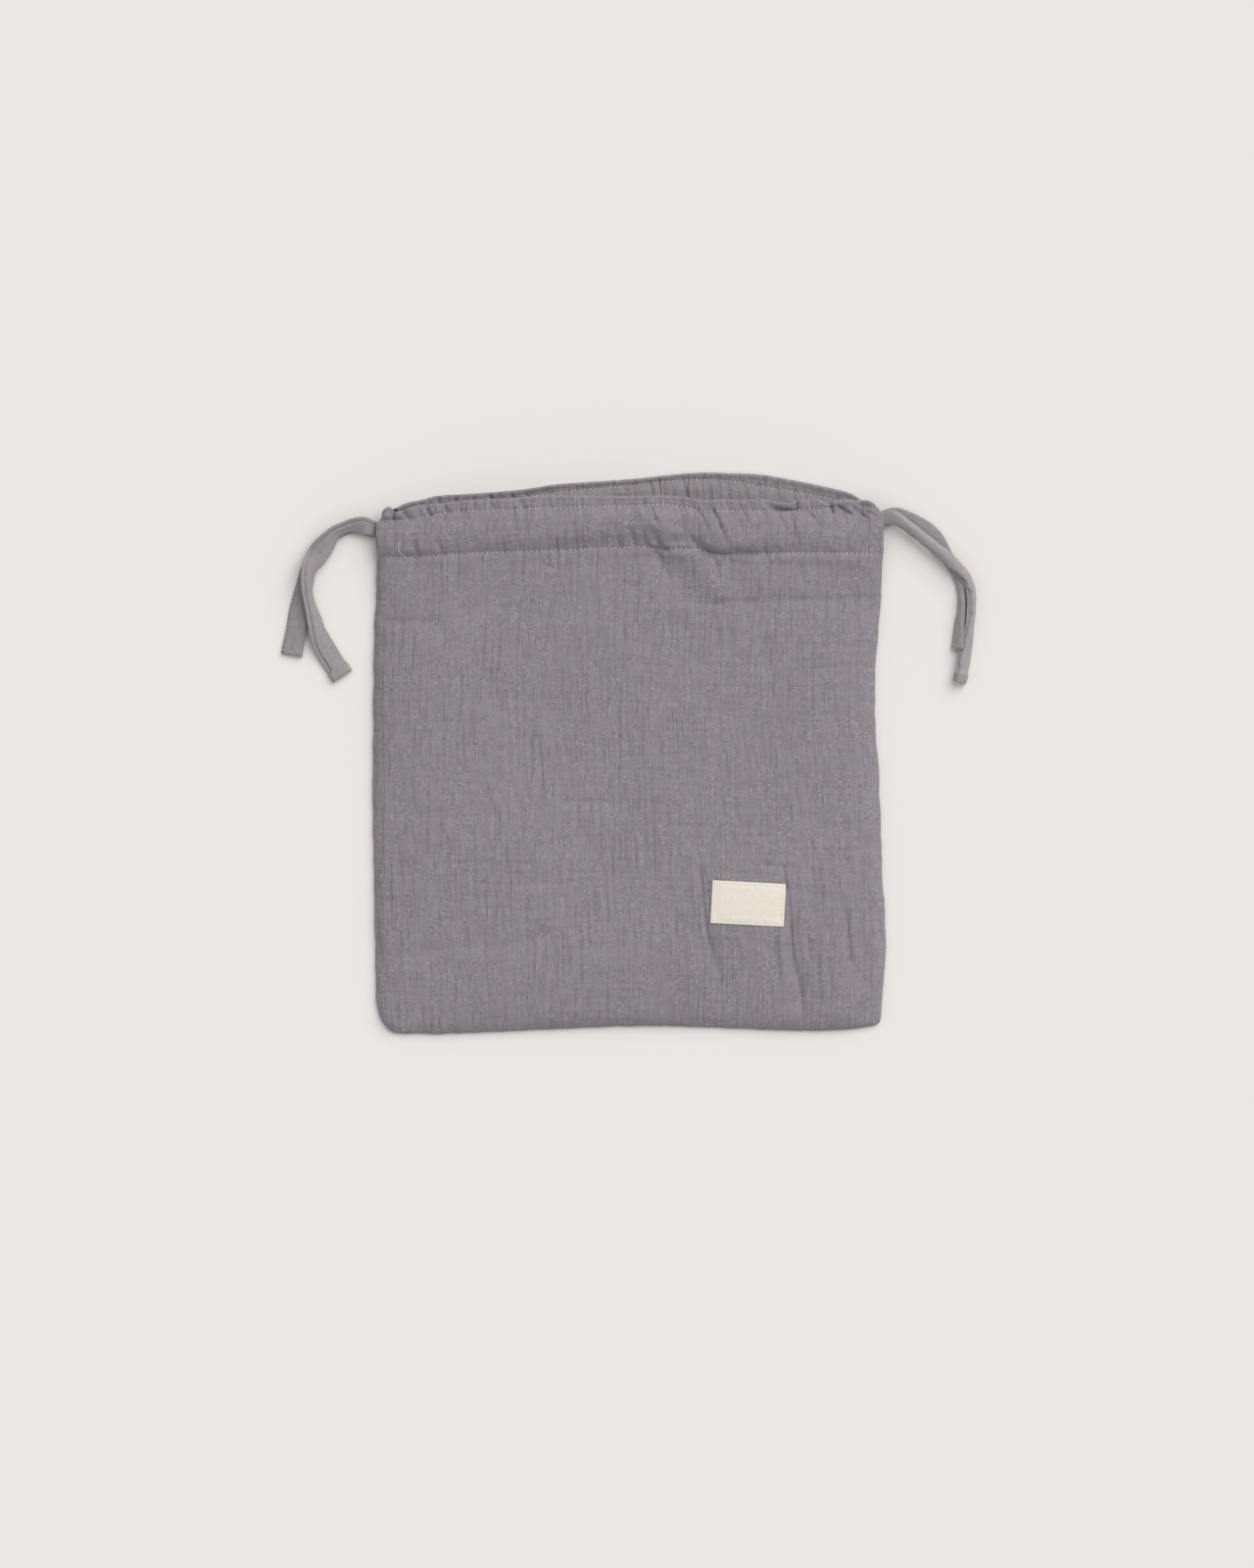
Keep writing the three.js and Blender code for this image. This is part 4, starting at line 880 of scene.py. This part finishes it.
def rowPlace(panel, plan, zone, value, x):
    low, high = panel["low"](x), panel["high"](x)
    start = bottomOf(x) + cloth["solidThickness"] / 2 + (cloth["backDrawnIn"] if panel is back else 0)
    foldAt = panel["mouth"](x) - cloth["solidThickness"] / 2 - cloth["foldRadius"]
    under = max(plan["underSteps"], default=0)
    if zone == "bottom":
        return start + value
    if zone == "body":
        return mix(start + plan["bottomSteps"][-1], low - under, value)
    if zone == "under":
        return low + value
    if zone == "casing":
        return mix(low, high, value)
    if zone == "heading":
        return mix(high, foldAt, value)
    return foldAt


def shareUp(panel, x, y):
    # 0 at the lower stitches and 1 at the upper ones
    return (y - panel["low"](x)) / (panel["high"](x) - panel["low"](x))


def frontRow(layer, value, x, y):
    # one row of the front: its moved y and its height
    radius = cloth["foldRadius"]
    share = shareUp(front, x, y)
    settle = frontSettle(x, y)
    inside = hemHeight(x) + hemClimb(x, share) + settle + cloth["lift"]
    if layer == "inner":
        return y, inside
    if layer == "fold":
        crest = inside + (cloth["solidThickness"] + cloth["layerGap"]) / 2 + radius * math.cos(value)
        return y + radius * math.sin(value), crest + 0.6 * crinkle(x, y) + gathered(front, x, y)
    u = np.clip(share / cloth["hangShare"], 0, 1)
    hang = hangOf(x) * 4 * u * (1 - u)
    return y - hang, frontHeight(x, y) + settle + cloth["hangRise"] * hang


def backRow(layer, value, x, y):
    if layer == "outer":
        return y, backRise(x, y)
    radius, flat = cloth["foldRadius"], cloth["solidThickness"] / 2
    settle = creaseRise(x, y, backCreases) * smoothStep(y, 116, 121) + gathered(back, x, y)
    if layer == "fold":
        turnedUp = (1 - math.cos(value)) / 2
        rise = 2 * radius * turnedUp + turnedUp * (0.8 * settle + 0.5 * crinkle(x, y))
        return y + radius * math.sin(value), flat + rise
    share = shareUp(back, x, y)
    sunk = 0.3 * bell((share - 1) * cloth["casingHeight"], 0.8)
    return y, flat + backSpacing(x, share) + 0.6 * crinkle(x, y) + 0.8 * settle - sunk


def panelGrid(panel, plan):
    # points and cloth places of one panel
    half = cloth["halfWidth"]
    edge, inside = np.array(cloth["rimSteps"]), half - cloth["rimWidth"]
    count = plan["columns"] - 2 * len(edge)
    inner = crowded(-inside, inside, count, plan["columnFolds"], reach=4.0, gain=0.5)
    x0 = np.concatenate([edge - half, inner, half - edge[::-1]])
    rows = planRows(plan)
    points = np.zeros((len(rows), len(x0), 3))
    for r, (layer, zone, value) in enumerate(rows):
        turned = {"outer": 0, "fold": value, "inner": np.pi}[layer]
        setBack = cloth["hemSetBack"] * (1 - math.cos(turned)) / 2
        x = acrossPanel(panel, x0, rowPlace(panel, plan, zone, value, x0), setBack)
        y = rowPlace(panel, plan, zone, value, x)
        y, z = (frontRow if panel is front else backRow)(layer, value, x, y)
        points[r] = np.stack([x, y, z], axis=-1)
    roundCorners(points, panel)
    along = np.cumsum(np.linalg.norm(np.diff(points, axis=0, prepend=points[:1]), axis=-1), axis=0)
    middle = len(x0) // 2
    uv = np.stack([np.broadcast_to(x0 + half, along.shape), along[:, middle:middle + 1] + 0 * along], axis=-1)
    return points, uv


frontPlan = {
    "columns": 304,
    "columnFolds": [-104, -118, 2, 8, 15, 33, 38, 44, 50, 76, 82, 98, 106, 113],
    "bodyRows": 99,
    "bodyFolds": [0.17, 0.30, 0.34, 0.475, 0.69, 0.86, 0.90, 0.945],  # where folds lie across it
    "bottomSteps": [0, 0.12, 0.4, 0.85, 1.5, 2.4, 3.6, 5.0],
    "underSteps": [7.5, 5.6, 4.2, 3.0, 2.0, 1.2, 0.6],
    "casingShares": [0, 0.02, 0.045, 0.075, 0.11, 0.15, 0.20, 0.25, 0.31, 0.38, 0.45, 0.52, 0.59, 0.65, 0.70,
                     0.745, 0.785, 0.82, 0.85, 0.88, 0.91, 0.94, 0.97, 1.0],
    "headingShares": [0.1, 0.26, 0.44, 0.62, 0.8],
    "innerShares": [0.8, 0.5],
    "hemShares": [1.0, 0.5, 0.0],
    "foldSteps": 7,
}
backPlan = {
    "columns": 304,
    "columnFolds": [-95, -86, -77, -69, -60, -26, 11, 15, 27, 38],
    "bodyRows": 48,
    "bodyFolds": [],
    "bottomSteps": [0, 0.2, 0.6, 1.2, 2.0, 3.5],
    "underSteps": [],
    "casingShares": [0, 0.5, 1.0],
    "headingShares": [0.35, 0.7],
    "innerShares": [0.8, 0.5, 0.25],
    "hemShares": [1.0, 0.96, 0.91, 0.84, 0.76, 0.67, 0.57, 0.46, 0.34, 0.22, 0.12, 0.05, 0.0],
    "foldSteps": 7,
}


def layPanel(panel, plan, material):
    name = panel["name"]
    points, uv = panelGrid(panel, plan)
    piece = gridPiece(name + "Panel", points, uv, cloths[material], thickness=cloth["thickness"])
    print(name, "panel laid:", points.shape[0], "rows of", points.shape[1])
    return finishPiece(piece, "gauze", name + "_panel")


frontPanel = layPanel(front, frontPlan, "gauze")
backPanel = layPanel(back, backPlan, "backGauze")


# Ties

tapes = {
    "stepsPerPoint": 7,
    "heldWidth": 7.0,
    "heldThickness": 0.5,  # pressed flat inside the casing, full again at the exits
    "exitThickness": 1.0,
    "exitSwell": (108, 118),
    "heldStep": 6.0,
    "heldLift": 0.85,  # above the middle of the layer it lies on
    "crossingLift": 0.7,
    "crossingReach": 0.42,
    "exitDrop": 1.6,
    "exitRamp": (117, 124),
    "leftRun": (-124.0, 119.6, -124.0),  # in, round the far side and out, along x
    "rightRun": (121.6, -119.6, 122.0),
    "held": {"cloth": "tieCloth", "lip": 0.8, "lipSide": 1, "wave": 0.0, "crown": 0.0, "band": False},
    "bandLength": 4.6,  # the turned and stitched end
    "bandGrowth": 0.8,
    "bandLip": 0.3,
    "leastLip": 0.25,
    "unevenWidth": 0.25,
    "ripple": 0.12,
    "endShare": (0.99, 0.99, 0.75),
}

# Loose ends, from the casing outwards: tilt raises the outer edge, lift is how far they are off the surface
tails = {
    "leftTailFront": {
        "node": "left_tail_front", "cloth": "tieCloth",
        "outer": 1, "lip": 2.3, "lipSide": 1, "wave": 0.1, "crown": 0.1, "band": True,
        "x": [-124.3, -127.4, -131.0, -135.8, -139.0, -144.8, -149.4, -153.8, -156.9, -157.9, -157.9,
              -156.9, -154.9, -152.8, -149.9, -146.1, -140.6],
        "y": [110.1, 110.8, 111.7, 111.7, 110.9, 107.9, 102.3, 96.3, 90.8, 83.7, 78.9, 74.0, 67.1, 59.1,
              52.4, 45.9, 37.7],
        "width": [7.0, 8.0, 9.6, 8.6, 7.4, 8.2, 10.2, 10.4, 9.0, 7.8, 6.8, 7.0, 8.2, 9.6, 10.4, 10.4, 10.4],
        "thickness": [1.2, 1.3, 1.5, 1.6, 1.9, 1.7, 1.6, 1.6, 1.6, 1.8, 2.0, 2.0, 1.8, 1.6, 1.6, 1.6, 1.8],
        "tilt": [0, 10, 28, 40, 44, 40, 22, 10, 38, 44, 48, 47, 41, 30, 12, 5, 3],
        "lift": [2.8, 3.5, 2.4, 1.9, 1.9, 1.9, 2.2, 2.3, 2.1, 2.0, 1.8, 1.1, 0.3, 0.1, 0.1, 0.1, 0.1],
    },
    "leftTailBack": {
        "node": "left_tail_back", "cloth": "shadedTieCloth",
        "outer": 1, "lip": 0.7, "lipSide": 1, "wave": 0.05, "crown": 0.0, "band": False,
        "x": [-124.3, -127.6, -131.4, -135.9, -139.4, -145.3, -150.2, -154.6, -157.8, -159.3, -161.0,
              -162.4, -163.3, -164.5, -165.8],
        "y": [109.5, 110.0, 111.1, 111.2, 110.3, 107.5, 101.8, 95.9, 90.5, 84.0, 77.1, 68.9, 61.4, 55.2,
              48.1],
        "width": [7.0, 7.4, 7.4, 7.0, 6.6, 6.8, 7.0, 7.0, 7.2, 8.0, 8.8, 9.6, 10.2, 10.4, 10.6],
        "thickness": [1.2, 1.3, 1.4, 1.4, 1.4, 1.4, 1.4, 1.4, 1.4, 1.4, 1.5, 1.5, 1.6, 1.6, 1.8],
        "tilt": [0, 5, 12, 16, 16, 12, 5, -2, -5, -7, -8, -7, -6, -4, -2],
        "lift": [1.3, 0.7, 0.2, 0.1, 0.1, 0.1, 0.1, 0.1, 0.1, 0.1, 0.1, 0.1, 0.1, 0.1, 0.1],
    },
    "rightTailFront": {
        "node": "right_tail_front", "cloth": "litRightTieCloth",
        "outer": -1, "lip": 0.9, "lipSide": -1, "wave": 0.45, "crown": 0.9, "band": True,
        "x": [121.9, 125.4, 129.3, 132.6, 138.3, 142.9, 151.3, 155.8, 160.0, 164.8, 167.6, 168.2, 167.7,
              167.0, 166.1, 164.7, 163.2, 162.4],
        "y": [114.8, 115.2, 115.4, 114.1, 110.3, 106.7, 99.7, 96.2, 92.1, 86.9, 81.1, 74.9, 67.2, 60.7,
              54.2, 45.9, 38.1, 34.6],
        "width": [7.0, 7.4, 8.6, 7.6, 6.6, 6.4, 6.6, 6.6, 6.2, 5.6, 5.0, 4.8, 4.8, 5.2, 6.0, 6.8, 6.4, 5.8],
        "thickness": [1.2, 1.3, 1.8, 2.2, 2.5, 2.6, 2.6, 2.6, 2.6, 2.6, 2.6, 2.5, 2.5, 2.4, 2.2, 2.0, 2.0,
                      2.0],
        "tilt": [0, 6, 32, 40, 45, 44, 38, 28, 12, -10, -32, -42, -46, -41, -34, -28, -30, -32],
        "lift": [4.6, 3.9, 2.7, 1.9, 1.3, 1.2, 1.4, 2.1, 2.5, 2.3, 0.8, 0.2, 0.1, 0.1, 0.1, 0.1, 0.1, 0.1],
    },
    "rightTailBack": {
        "node": "right_tail_back", "cloth": "litRightTieCloth",
        "outer": -1, "lip": 0.7, "lipSide": 1, "wave": 0.2, "crown": 0.05, "band": False,
        "x": [122.4, 126.6, 131.0, 136.5, 141.8, 146.8, 151.2, 155.0, 158.4, 161.0, 162.6, 163.2, 163.0,
              162.3, 161.9, 161.5],
        "y": [114.9, 116.0, 117.0, 115.4, 112.7, 109.4, 104.6, 98.6, 92.9, 87.6, 82.0, 76.0, 69.5, 63.5,
              57.5, 51.0],
        "width": [7.0, 7.2, 7.6, 7.4, 7.4, 7.8, 7.8, 7.0, 6.0, 5.0, 4.6, 4.8, 5.8, 6.8, 7.2, 7.4],
        "thickness": [1.2, 1.2, 1.5, 1.5, 1.5, 1.5, 1.5, 1.5, 1.5, 1.6, 1.6, 1.6, 1.5, 1.5, 1.6, 1.6],
        "tilt": [0, 2, 14, 16, 14, 11, 8, 4, 2, 12, 46, 62, 60, 54, 48, 42],
        "lift": [1.3, 1.0, 0.2, 0.1, 0.1, 0.1, 0.1, 0.1, 0.1, 0.1, 0.1, 0.1, 0.1, 0.1, 0.1, 0.1],
    },
}


def tapeSection(width, thickness, lip, side, crown):
    # outline of a strip folded in layers: the under layer shows past the top one by lip
    a, h = width / 2, thickness / 2
    lip = min(lip, 0.3 * width)
    step = a - lip
    top = [(-a, -0.25), (-a, 0.35), (-a + 0.3, 0.75), (-a + 0.9, 0.96), (-0.45 * a, 1.0), (0.0, 1.0),
           (0.45 * step, 1.0), (step - 0.55, 1.0), (step - 0.12, 0.9), (step, 0.55), (step + 0.02, -0.15),
           (step + 0.2, 0.12), (mix(step, a, 0.6), 0.2), (a - 0.08, 0.0), (a, -0.4)]
    under = [(a - 0.25, -0.85), (a - 0.9, -1.0), (0.4 * a, -1.0), (-0.4 * a, -1.0), (-a + 0.9, -1.0),
             (-a + 0.2, -0.8)]
    crowned = [(u, v * h + (crown * h * (1 - (u / a)**2) if v > 0.5 else 0)) for u, v in top]
    return [(side * u, v) for u, v in crowned + [(u, v * h) for u, v in under]]


def tailStations(tail):
    # places along a loose end: centre, across, up and the table's other columns there
    count = len(tail["x"])
    at = np.linspace(0, count - 1, (count - 1) * tapes["stepsPerPoint"] + 1)
    table = {key: np.array(tail[key], float) for key in ("x", "y", "width", "thickness", "tilt", "lift")}
    tilt = np.radians(np.abs(table["tilt"]))
    table["z"] = table["width"] / 2 * np.sin(tilt) + table["thickness"] / 2 * np.cos(tilt) + table["lift"]
    table["i"] = np.arange(count)
    read = {key: curveThrough(table, "i", key)(at) for key in table}
    centre = np.stack([read["x"], read["y"], read["z"]], axis=-1)
    tangent = np.gradient(centre, axis=0)
    side = unit(np.stack([tangent[:, 1], -tangent[:, 0], 0 * at], axis=-1) * tail["outer"])
    side[0] = (0, 1, 0)
    turned = np.radians(read["tilt"])[:, None]
    upright = np.array([0.0, 0.0, 1.0])
    across = side * np.cos(turned) + upright * np.sin(turned)
    up = -side * np.sin(turned) + upright * np.cos(turned)
    return {**read, "centre": centre, "across": across, "up": up, "length": lengthsAlong(centre)}


def tapePiece(name, stations, look):
    # closed strip through the stations, its last few millimetres a turned and stitched end
    rings, places = [], []
    total = stations["length"][-1]
    for i, s in enumerate(stations["length"]):
        ragged = noisy("wideTapeLip", s, 0.0) + 0.6 * noisy("tapeLip", s, 0.0)
        lip = max(tapes["leastLip"], look["lip"] + look["wave"] * ragged)
        width = stations["width"][i] + tapes["unevenWidth"] * noisy("tapeWidth", s, 0.0)
        thickness = stations["thickness"][i]
        if look["band"] and total - s < tapes["bandLength"]:
            width, thickness = width + tapes["bandGrowth"], thickness + tapes["bandGrowth"]
            lip = tapes["bandLip"]
        section = tapeSection(width, thickness, lip, look["lipSide"], look["crown"])
        section.append(section[0])
        ripple = [tapes["ripple"] * noisy("tapeRipple", s, u) if v > 0 else 0 for u, v in section]
        rings.append([stations["centre"][i] + stations["across"][i] * u + stations["up"][i] * (v + r)
                      for (u, v), r in zip(section, ripple)])
        places.append([(around, s) for around in lengthsAlong(section)])
    rings = [shrunk(rings[0], stations["centre"][0]), *rings, shrunk(rings[-1], stations["centre"][-1])]
    places = [places[0], *places, places[-1]]
    piece = gridPiece(name, np.array(rings), np.array(places), cloths[look["cloth"]], closed=True)
    if look["band"]:
        mesh = piece.data
        mesh.materials.append(cloths["tieEnd"])
        layer = mesh.uv_layers["cloth"].data
        for face in mesh.polygons:
            face.material_index = int(layer[face.loop_start].uv[1] > (total - tapes["bandLength"]) * mm)
    return piece


def shrunk(ring, centre):
    # end ring, a little thinner, so that the cut end looks soft
    return centre + (np.array(ring) - centre) * tapes["endShare"]


madeTails = {}
for name, tail in tails.items():
    stations = tailStations(tail)
    piece = tapePiece(name, stations, tail)
    finishPiece(piece, "tie", tail["node"])
    madeTails[name] = (piece, stations)
    print("loose end laid:", name, round(float(stations["length"][-1])), "mm long")


def heldPoint(panel, tie, x, over):
    share = panel[tie](x)
    y = mix(panel["low"](x), panel["high"](x), share)
    under = hemHeight(x) + hemClimb(x, share) if panel is front else cloth["solidThickness"] / 2
    apart = abs(panel["left"](x) - panel["right"](x))
    raised = tapes["crossingLift"] * smoothStep(tapes["crossingReach"] - apart, 0, 0.1) if over else 0
    drop = tapes["exitDrop"] * smoothStep(abs(x), *tapes["exitRamp"]) if panel is front else 0
    return np.array([x, y, under + tapes["heldLift"] + raised - drop], float)


def heldPiece(name, tie, node):
    # held part of a tie: through the front casing, round inside its far end, back through the back casing
    start, turnAt, finish = tapes[tie + "Run"]
    over = tie == "left"
    count = int(abs(turnAt - start) / tapes["heldStep"])
    out = [heldPoint(front, tie, x, over) for x in np.linspace(start, turnAt, count)]
    home = [heldPoint(back, tie, x, over) for x in np.linspace(turnAt, finish, count)]
    radius = (out[-1][2] - home[0][2]) / 2
    bend = []
    for quarter in (1, 2, 3):
        angle = math.pi * quarter / 4
        point = mix(out[-1], home[0], quarter / 4)
        point[0] += math.copysign(radius * math.sin(angle), turnAt)
        point[2] = (out[-1][2] + home[0][2]) / 2 + radius * math.cos(angle)
        bend.append(point)
    centre = np.array(out + bend + home)
    tangent = unit(np.gradient(centre, axis=0))
    tangent[0] = (math.copysign(1, turnAt), 0, 0)
    tangent[-1] = -tangent[0]
    across = unit(np.array([0.0, 1.0, 0.0]) - tangent * tangent[:, 1:2])
    swell = smoothStep(np.abs(centre[:, 0]), *tapes["exitSwell"])
    stations = {
        "centre": centre, "across": across, "up": np.cross(tangent, across), "length": lengthsAlong(centre),
        "width": np.full(len(centre), tapes["heldWidth"]),
        "thickness": mix(tapes["heldThickness"], tapes["exitThickness"], swell),
    }
    finishPiece(tapePiece(name, stations, tapes["held"]), "tie", node)


heldPiece("leftTieHeld", "left", "left_tie_run")
heldPiece("rightTieHeld", "right", "right_tie_run")
print("ties drawn through both casings")


# Label

label = {
    "x": 58.4, "y": -73.8, "width": 36.0, "height": 21.0, "turn": -3.0, "columns": 72, "rows": 42,
    "thickness": 0.5, "lift": 0.5, "crinkle": 0.25,
    "puff": 0.25, "edgePuff": 0.1, "edgeSink": 0.12, "fray": 0.14,
}


def labelPoint(u, v):
    angle = math.radians(label["turn"])
    x = label["x"] + u * math.cos(angle) - v * math.sin(angle)
    y = label["y"] + u * math.sin(angle) + v * math.cos(angle)
    return x, y, frontHeight(x, y, fine=False) + label["crinkle"] * crinkle(x, y) + cloth["thickness"] / 2


def makeLabel():
    u, v = np.meshgrid(np.linspace(-0.5, 0.5, label["columns"] + 1) * label["width"],
                       np.linspace(-0.5, 0.5, label["rows"] + 1) * label["height"])
    frayed = label["fray"] * noisy("labelEdge", u, v)
    edge = np.maximum(np.abs(u) / (label["width"] / 2), np.abs(v) / (label["height"] / 2))
    grown = 1 + 0.012 * frayed * (edge > 0.98)
    x, y, settled = labelPoint(u * grown, v * grown)
    puffed = label["puff"] * (1 - smoothStep(edge, 0.72, 0.9))
    puffed = puffed + label["edgePuff"] * smoothStep(edge, 0.9, 1.0)
    z = settled + label["lift"] + puffed - label["edgeSink"] * smoothStep(edge, 0.99, 1.0)
    uv = np.stack([u + label["width"], v + label["height"]], axis=-1)
    piece = gridPiece("sewnLabel", np.stack([x, y, z], axis=-1), uv, cloths["labelCotton"],
                      thickness=label["thickness"])
    return finishPiece(piece, "label", "label")


sewnLabel = makeLabel()
print("label laid")


# Stitches

sewing = {
    "pitch": 2.45, "length": 1.5, "width": 0.64, "height": 0.46, "lift": 0.08,
    "uneven": 0.5, "twist": 0.5, "shortest": 0.65, "spread": 0.55,  # for all stitches
    # sizes of the dark dots of painted shade at the stitch ends
    "shadeDotWidth": 0.62, "shadeDotHeight": 0.3, "shadeDotDepth": 0.1,
    # the upper row is hidden below the heading's folds in places
    "frontRows": [("low", -120.5, 123.2), ("high", -102.0, 71.5), ("high", 82.8, 98.4)],
    "frontPoints": 700,
    "backRow": (-108, 101, 600),
    "mapShift": 0.2,  # in metres, keeps the map's places above zero
}
labelSewing = {"pitch": 1.75, "length": 1.2, "width": 0.32, "height": 0.26, "lift": 0.05}
tieSewing = {
    "pitch": 1.7, "length": 1.15, "width": 0.46, "height": 0.34, "lift": 0.08,
    # from s, u to s, u, where s is mm from the end and u a share of half the width
    "leftTailFront": [(5.0, -0.8, 5.0, 0.1), (9.4, 0.42, 5.4, 0.55), (5.0, 0.5, 4.8, 0.9)],
    "leftTailBack": [(64.0, 0.86, 1.5, 0.86), (1.6, -0.8, 1.6, 0.8)],
    "rightTailFront": [(5.0, -0.8, 5.0, 0.8), (3.3, -0.8, 3.3, 0.8), (1.6, -0.8, 1.6, 0.8)],
    "rightTailBack": [(86.0, 0.84, 44.0, 0.84), (1.6, -0.8, 1.6, 0.8)],
}
stitchRandom = np.random.default_rng(5)


def placeAlong(s, lengths, columns):
    return np.stack([np.interp(s, lengths, columns[:, k]) for k in range(3)], axis=-1)


def stitchLine(bm, path, form, start=0.5):
    # small threads, one for each stitch, along a path of points in millimetres
    lengths = lengthsAlong(path)
    for s in np.arange(form["pitch"] * start, lengths[-1], form["pitch"]):
        s = s + sewing["uneven"] * (stitchRandom.random() - 0.5)
        middle, before, after = (Vector(placeAlong(s + ahead, lengths, path)) for ahead in (0, -0.6, 0.6))
        turn = (after - before).to_track_quat("X", "Z").to_matrix().to_4x4()
        twist = Matrix.Rotation(sewing["twist"] * (stitchRandom.random() - 0.5), 4, "Z")
        grown = sewing["shortest"] + sewing["spread"] * stitchRandom.random()
        across = (grown * form["length"], form["width"], form["height"])
        size = Matrix.Diagonal((*(whole / 2 * mm for whole in across), 1))
        place = Matrix.Translation(middle * mm) @ turn @ twist @ size
        bmesh.ops.create_uvsphere(bm, u_segments=6, v_segments=4, radius=1, matrix=place)


def threadPiece(name, bm, material, slot):
    mesh = bpy.data.meshes.new(name)
    bm.to_mesh(mesh)
    bm.free()
    layCloth(mesh, vertexPlaces(mesh)[:, :2] + sewing["mapShift"])
    return finishPiece(addPiece(name, mesh, cloths[material]), slot)


def frontTop(x, y):
    return frontHeight(x, y) + frontSettle(x, y) + cloth["thickness"] / 2


def sewPanel(side, rows):
    # rows of stitches on the cloth's top, with a dark dot of painted shade at every stitch end
    threads, shadeDots = bmesh.new(), bmesh.new()
    shadeDot = {"pitch": sewing["pitch"], "length": sewing["shadeDotWidth"], "width": 1.1 * sewing["shadeDotWidth"],
            "height": sewing["shadeDotHeight"]}
    for x, y, top in rows:
        path = np.stack([x, y, top + sewing["lift"]], axis=-1)
        stitchLine(threads, path, sewing)
        stitchLine(shadeDots, path - (0, 0, sewing["lift"] + sewing["shadeDotDepth"]), shadeDot, 1.0)
    threadPiece(side + "Stitches", threads, "thread", "gauze")
    threadPiece(side + "PaintedStitchShade", shadeDots, "paintedStitchShade", "gauze")


def frontRows():
    for line, start, end in sewing["frontRows"]:
        x = np.linspace(start, end, sewing["frontPoints"])
        y = front[line](x)
        yield x, y, frontTop(x, y)


def backRows():
    x = np.linspace(*sewing["backRow"])
    y = back["high"](x)
    yield x, y, backRow("inner", 0, x, y)[1] + cloth["thickness"] / 2


def sewLabel():
    bm = bmesh.new()
    a, b = label["width"] / 2, label["height"] / 2
    sides = [(-a + 1.2, -b + 1.0, -a + 1.2, b - 1.0), (-a + 1.2, b - 1.5, a - 1.2, b - 1.5),
             (a - 1.3, b - 1.2, a - 1.3, -b + 1.2), (a - 3.1, b - 1.5, a - 3.1, -b + 1.3),
             (a - 1.2, -b + 1.2, -a + 1.2, -b + 1.2)]
    for u0, v0, u1, v1 in sides:
        x, y, settled = labelPoint(np.linspace(u0, u1, 60), np.linspace(v0, v1, 60))
        top = settled + label["lift"] + label["thickness"] / 2 + labelSewing["lift"]
        stitchLine(bm, np.stack([x, y, top], axis=-1), labelSewing)
    threadPiece("labelStitches", bm, "labelThread", "label")


def sewTie(name):
    bm = bmesh.new()
    stations = madeTails[name][1]
    length = stations["length"]
    for s0, u0, s1, u1 in tieSewing[name]:
        s = length[-1] - np.linspace(s0, s1, 80)
        u = np.linspace(u0, u1, 80)[:, None]
        centre, across, up = (placeAlong(s, length, stations[key]) for key in ("centre", "across", "up"))
        width, thickness = (np.interp(s, length, stations[key])[:, None] / 2
                            for key in ("width", "thickness"))
        crown = 1 + tails[name]["crown"] * (1 - u**2)
        grown = tapes["bandGrowth"] / 2 * (tails[name]["band"] and s0 <= tapes["bandLength"])
        top = thickness * crown + grown + tieSewing["lift"]
        stitchLine(bm, centre + across * width * u + up * top, tieSewing)
    return threadPiece(name + "Stitches", bm, "thread", "tie")


# Bits of thread that lie on the front: x, then y of their points
looseThreads = {
    "curl": ([-112.2, -113.2, -112.6, -110.7, -109.1], [103.7, 100.5, 98.5, 96.9, 95.7]),
    "loop": ([-10.4, -9.4, -9.1, -9.9, -10.6], [104.9, 104.4, 103.0, 101.7, 101.2]),
    "fleck": ([-83.3, -82.2, -80.9], [-14.7, -15.0, -15.7]),
}
looseThreadWidth = 0.42


def looseThread(name, xs, ys):
    last = len(xs) - 1
    bends = {"i": range(last + 1), "x": xs, "y": ys}
    at = np.linspace(0, last, 8 * last + 1)
    x, y = curveThrough(bends, "i", "x")(at), curveThrough(bends, "i", "y")(at)
    radius = looseThreadWidth / 2
    centre = np.stack([x, y, frontTop(x, y) + 0.8 * radius], axis=-1)
    ahead = unit(np.gradient(centre, axis=0))
    side = np.stack([ahead[:, 1], -ahead[:, 0], 0 * x], axis=-1)
    up = np.cross(side, ahead)
    thin = radius * np.clip(np.minimum(at, at[-1] - at) * 4 + 0.35, 0, 1)[:, None]
    turns = np.linspace(0, 2 * np.pi, 7)
    rings = [centre + thin * (side * math.cos(turn) + up * math.sin(turn)) for turn in turns]
    places = np.stack(np.broadcast_arrays(turns * radius, at[:, None]), axis=-1)
    piece = gridPiece(name + "Thread", np.stack(rings, axis=1), places, cloths["thread"], closed=True)
    finishPiece(piece, "gauze")


sewPanel("front", frontRows())
sewPanel("back", backRows())
sewLabel()
for name, (xs, ys) in looseThreads.items():
    looseThread(name, xs, ys)
tieStitches = {name: sewTie(name) for name in tails}
print("stitches sewn")


# Floor

def makeFloor():
    bm = bmesh.new()
    bmesh.ops.create_grid(bm, x_segments=1, y_segments=1, size=studio["floorSize"] / 2 * mm,
                          matrix=Matrix.Translation((0, 0, -studio["floorDrop"] * mm)))
    mesh = bpy.data.meshes.new("floor")
    bm.to_mesh(mesh)
    bm.free()
    material = bpy.data.materials.new("floor")
    material.use_nodes = True
    shader = material.node_tree.nodes["Principled BSDF"]
    shader.inputs["Base Color"].default_value = (*studio["floorColour"], 1)
    shader.inputs["Roughness"].default_value = studio["floorRoughness"]
    shader.inputs["Specular IOR Level"].default_value = 0.0
    mesh.materials.append(material)
    floor = bpy.data.objects.new("floor", mesh)
    bpy.context.scene.collection.objects.link(floor)


makeFloor()

# The centre line of each loose end, in metres

for name, (piece, stations) in madeTails.items():
    path = [tuple(point) for point in stations["centre"] * mm]
    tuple(path[0])
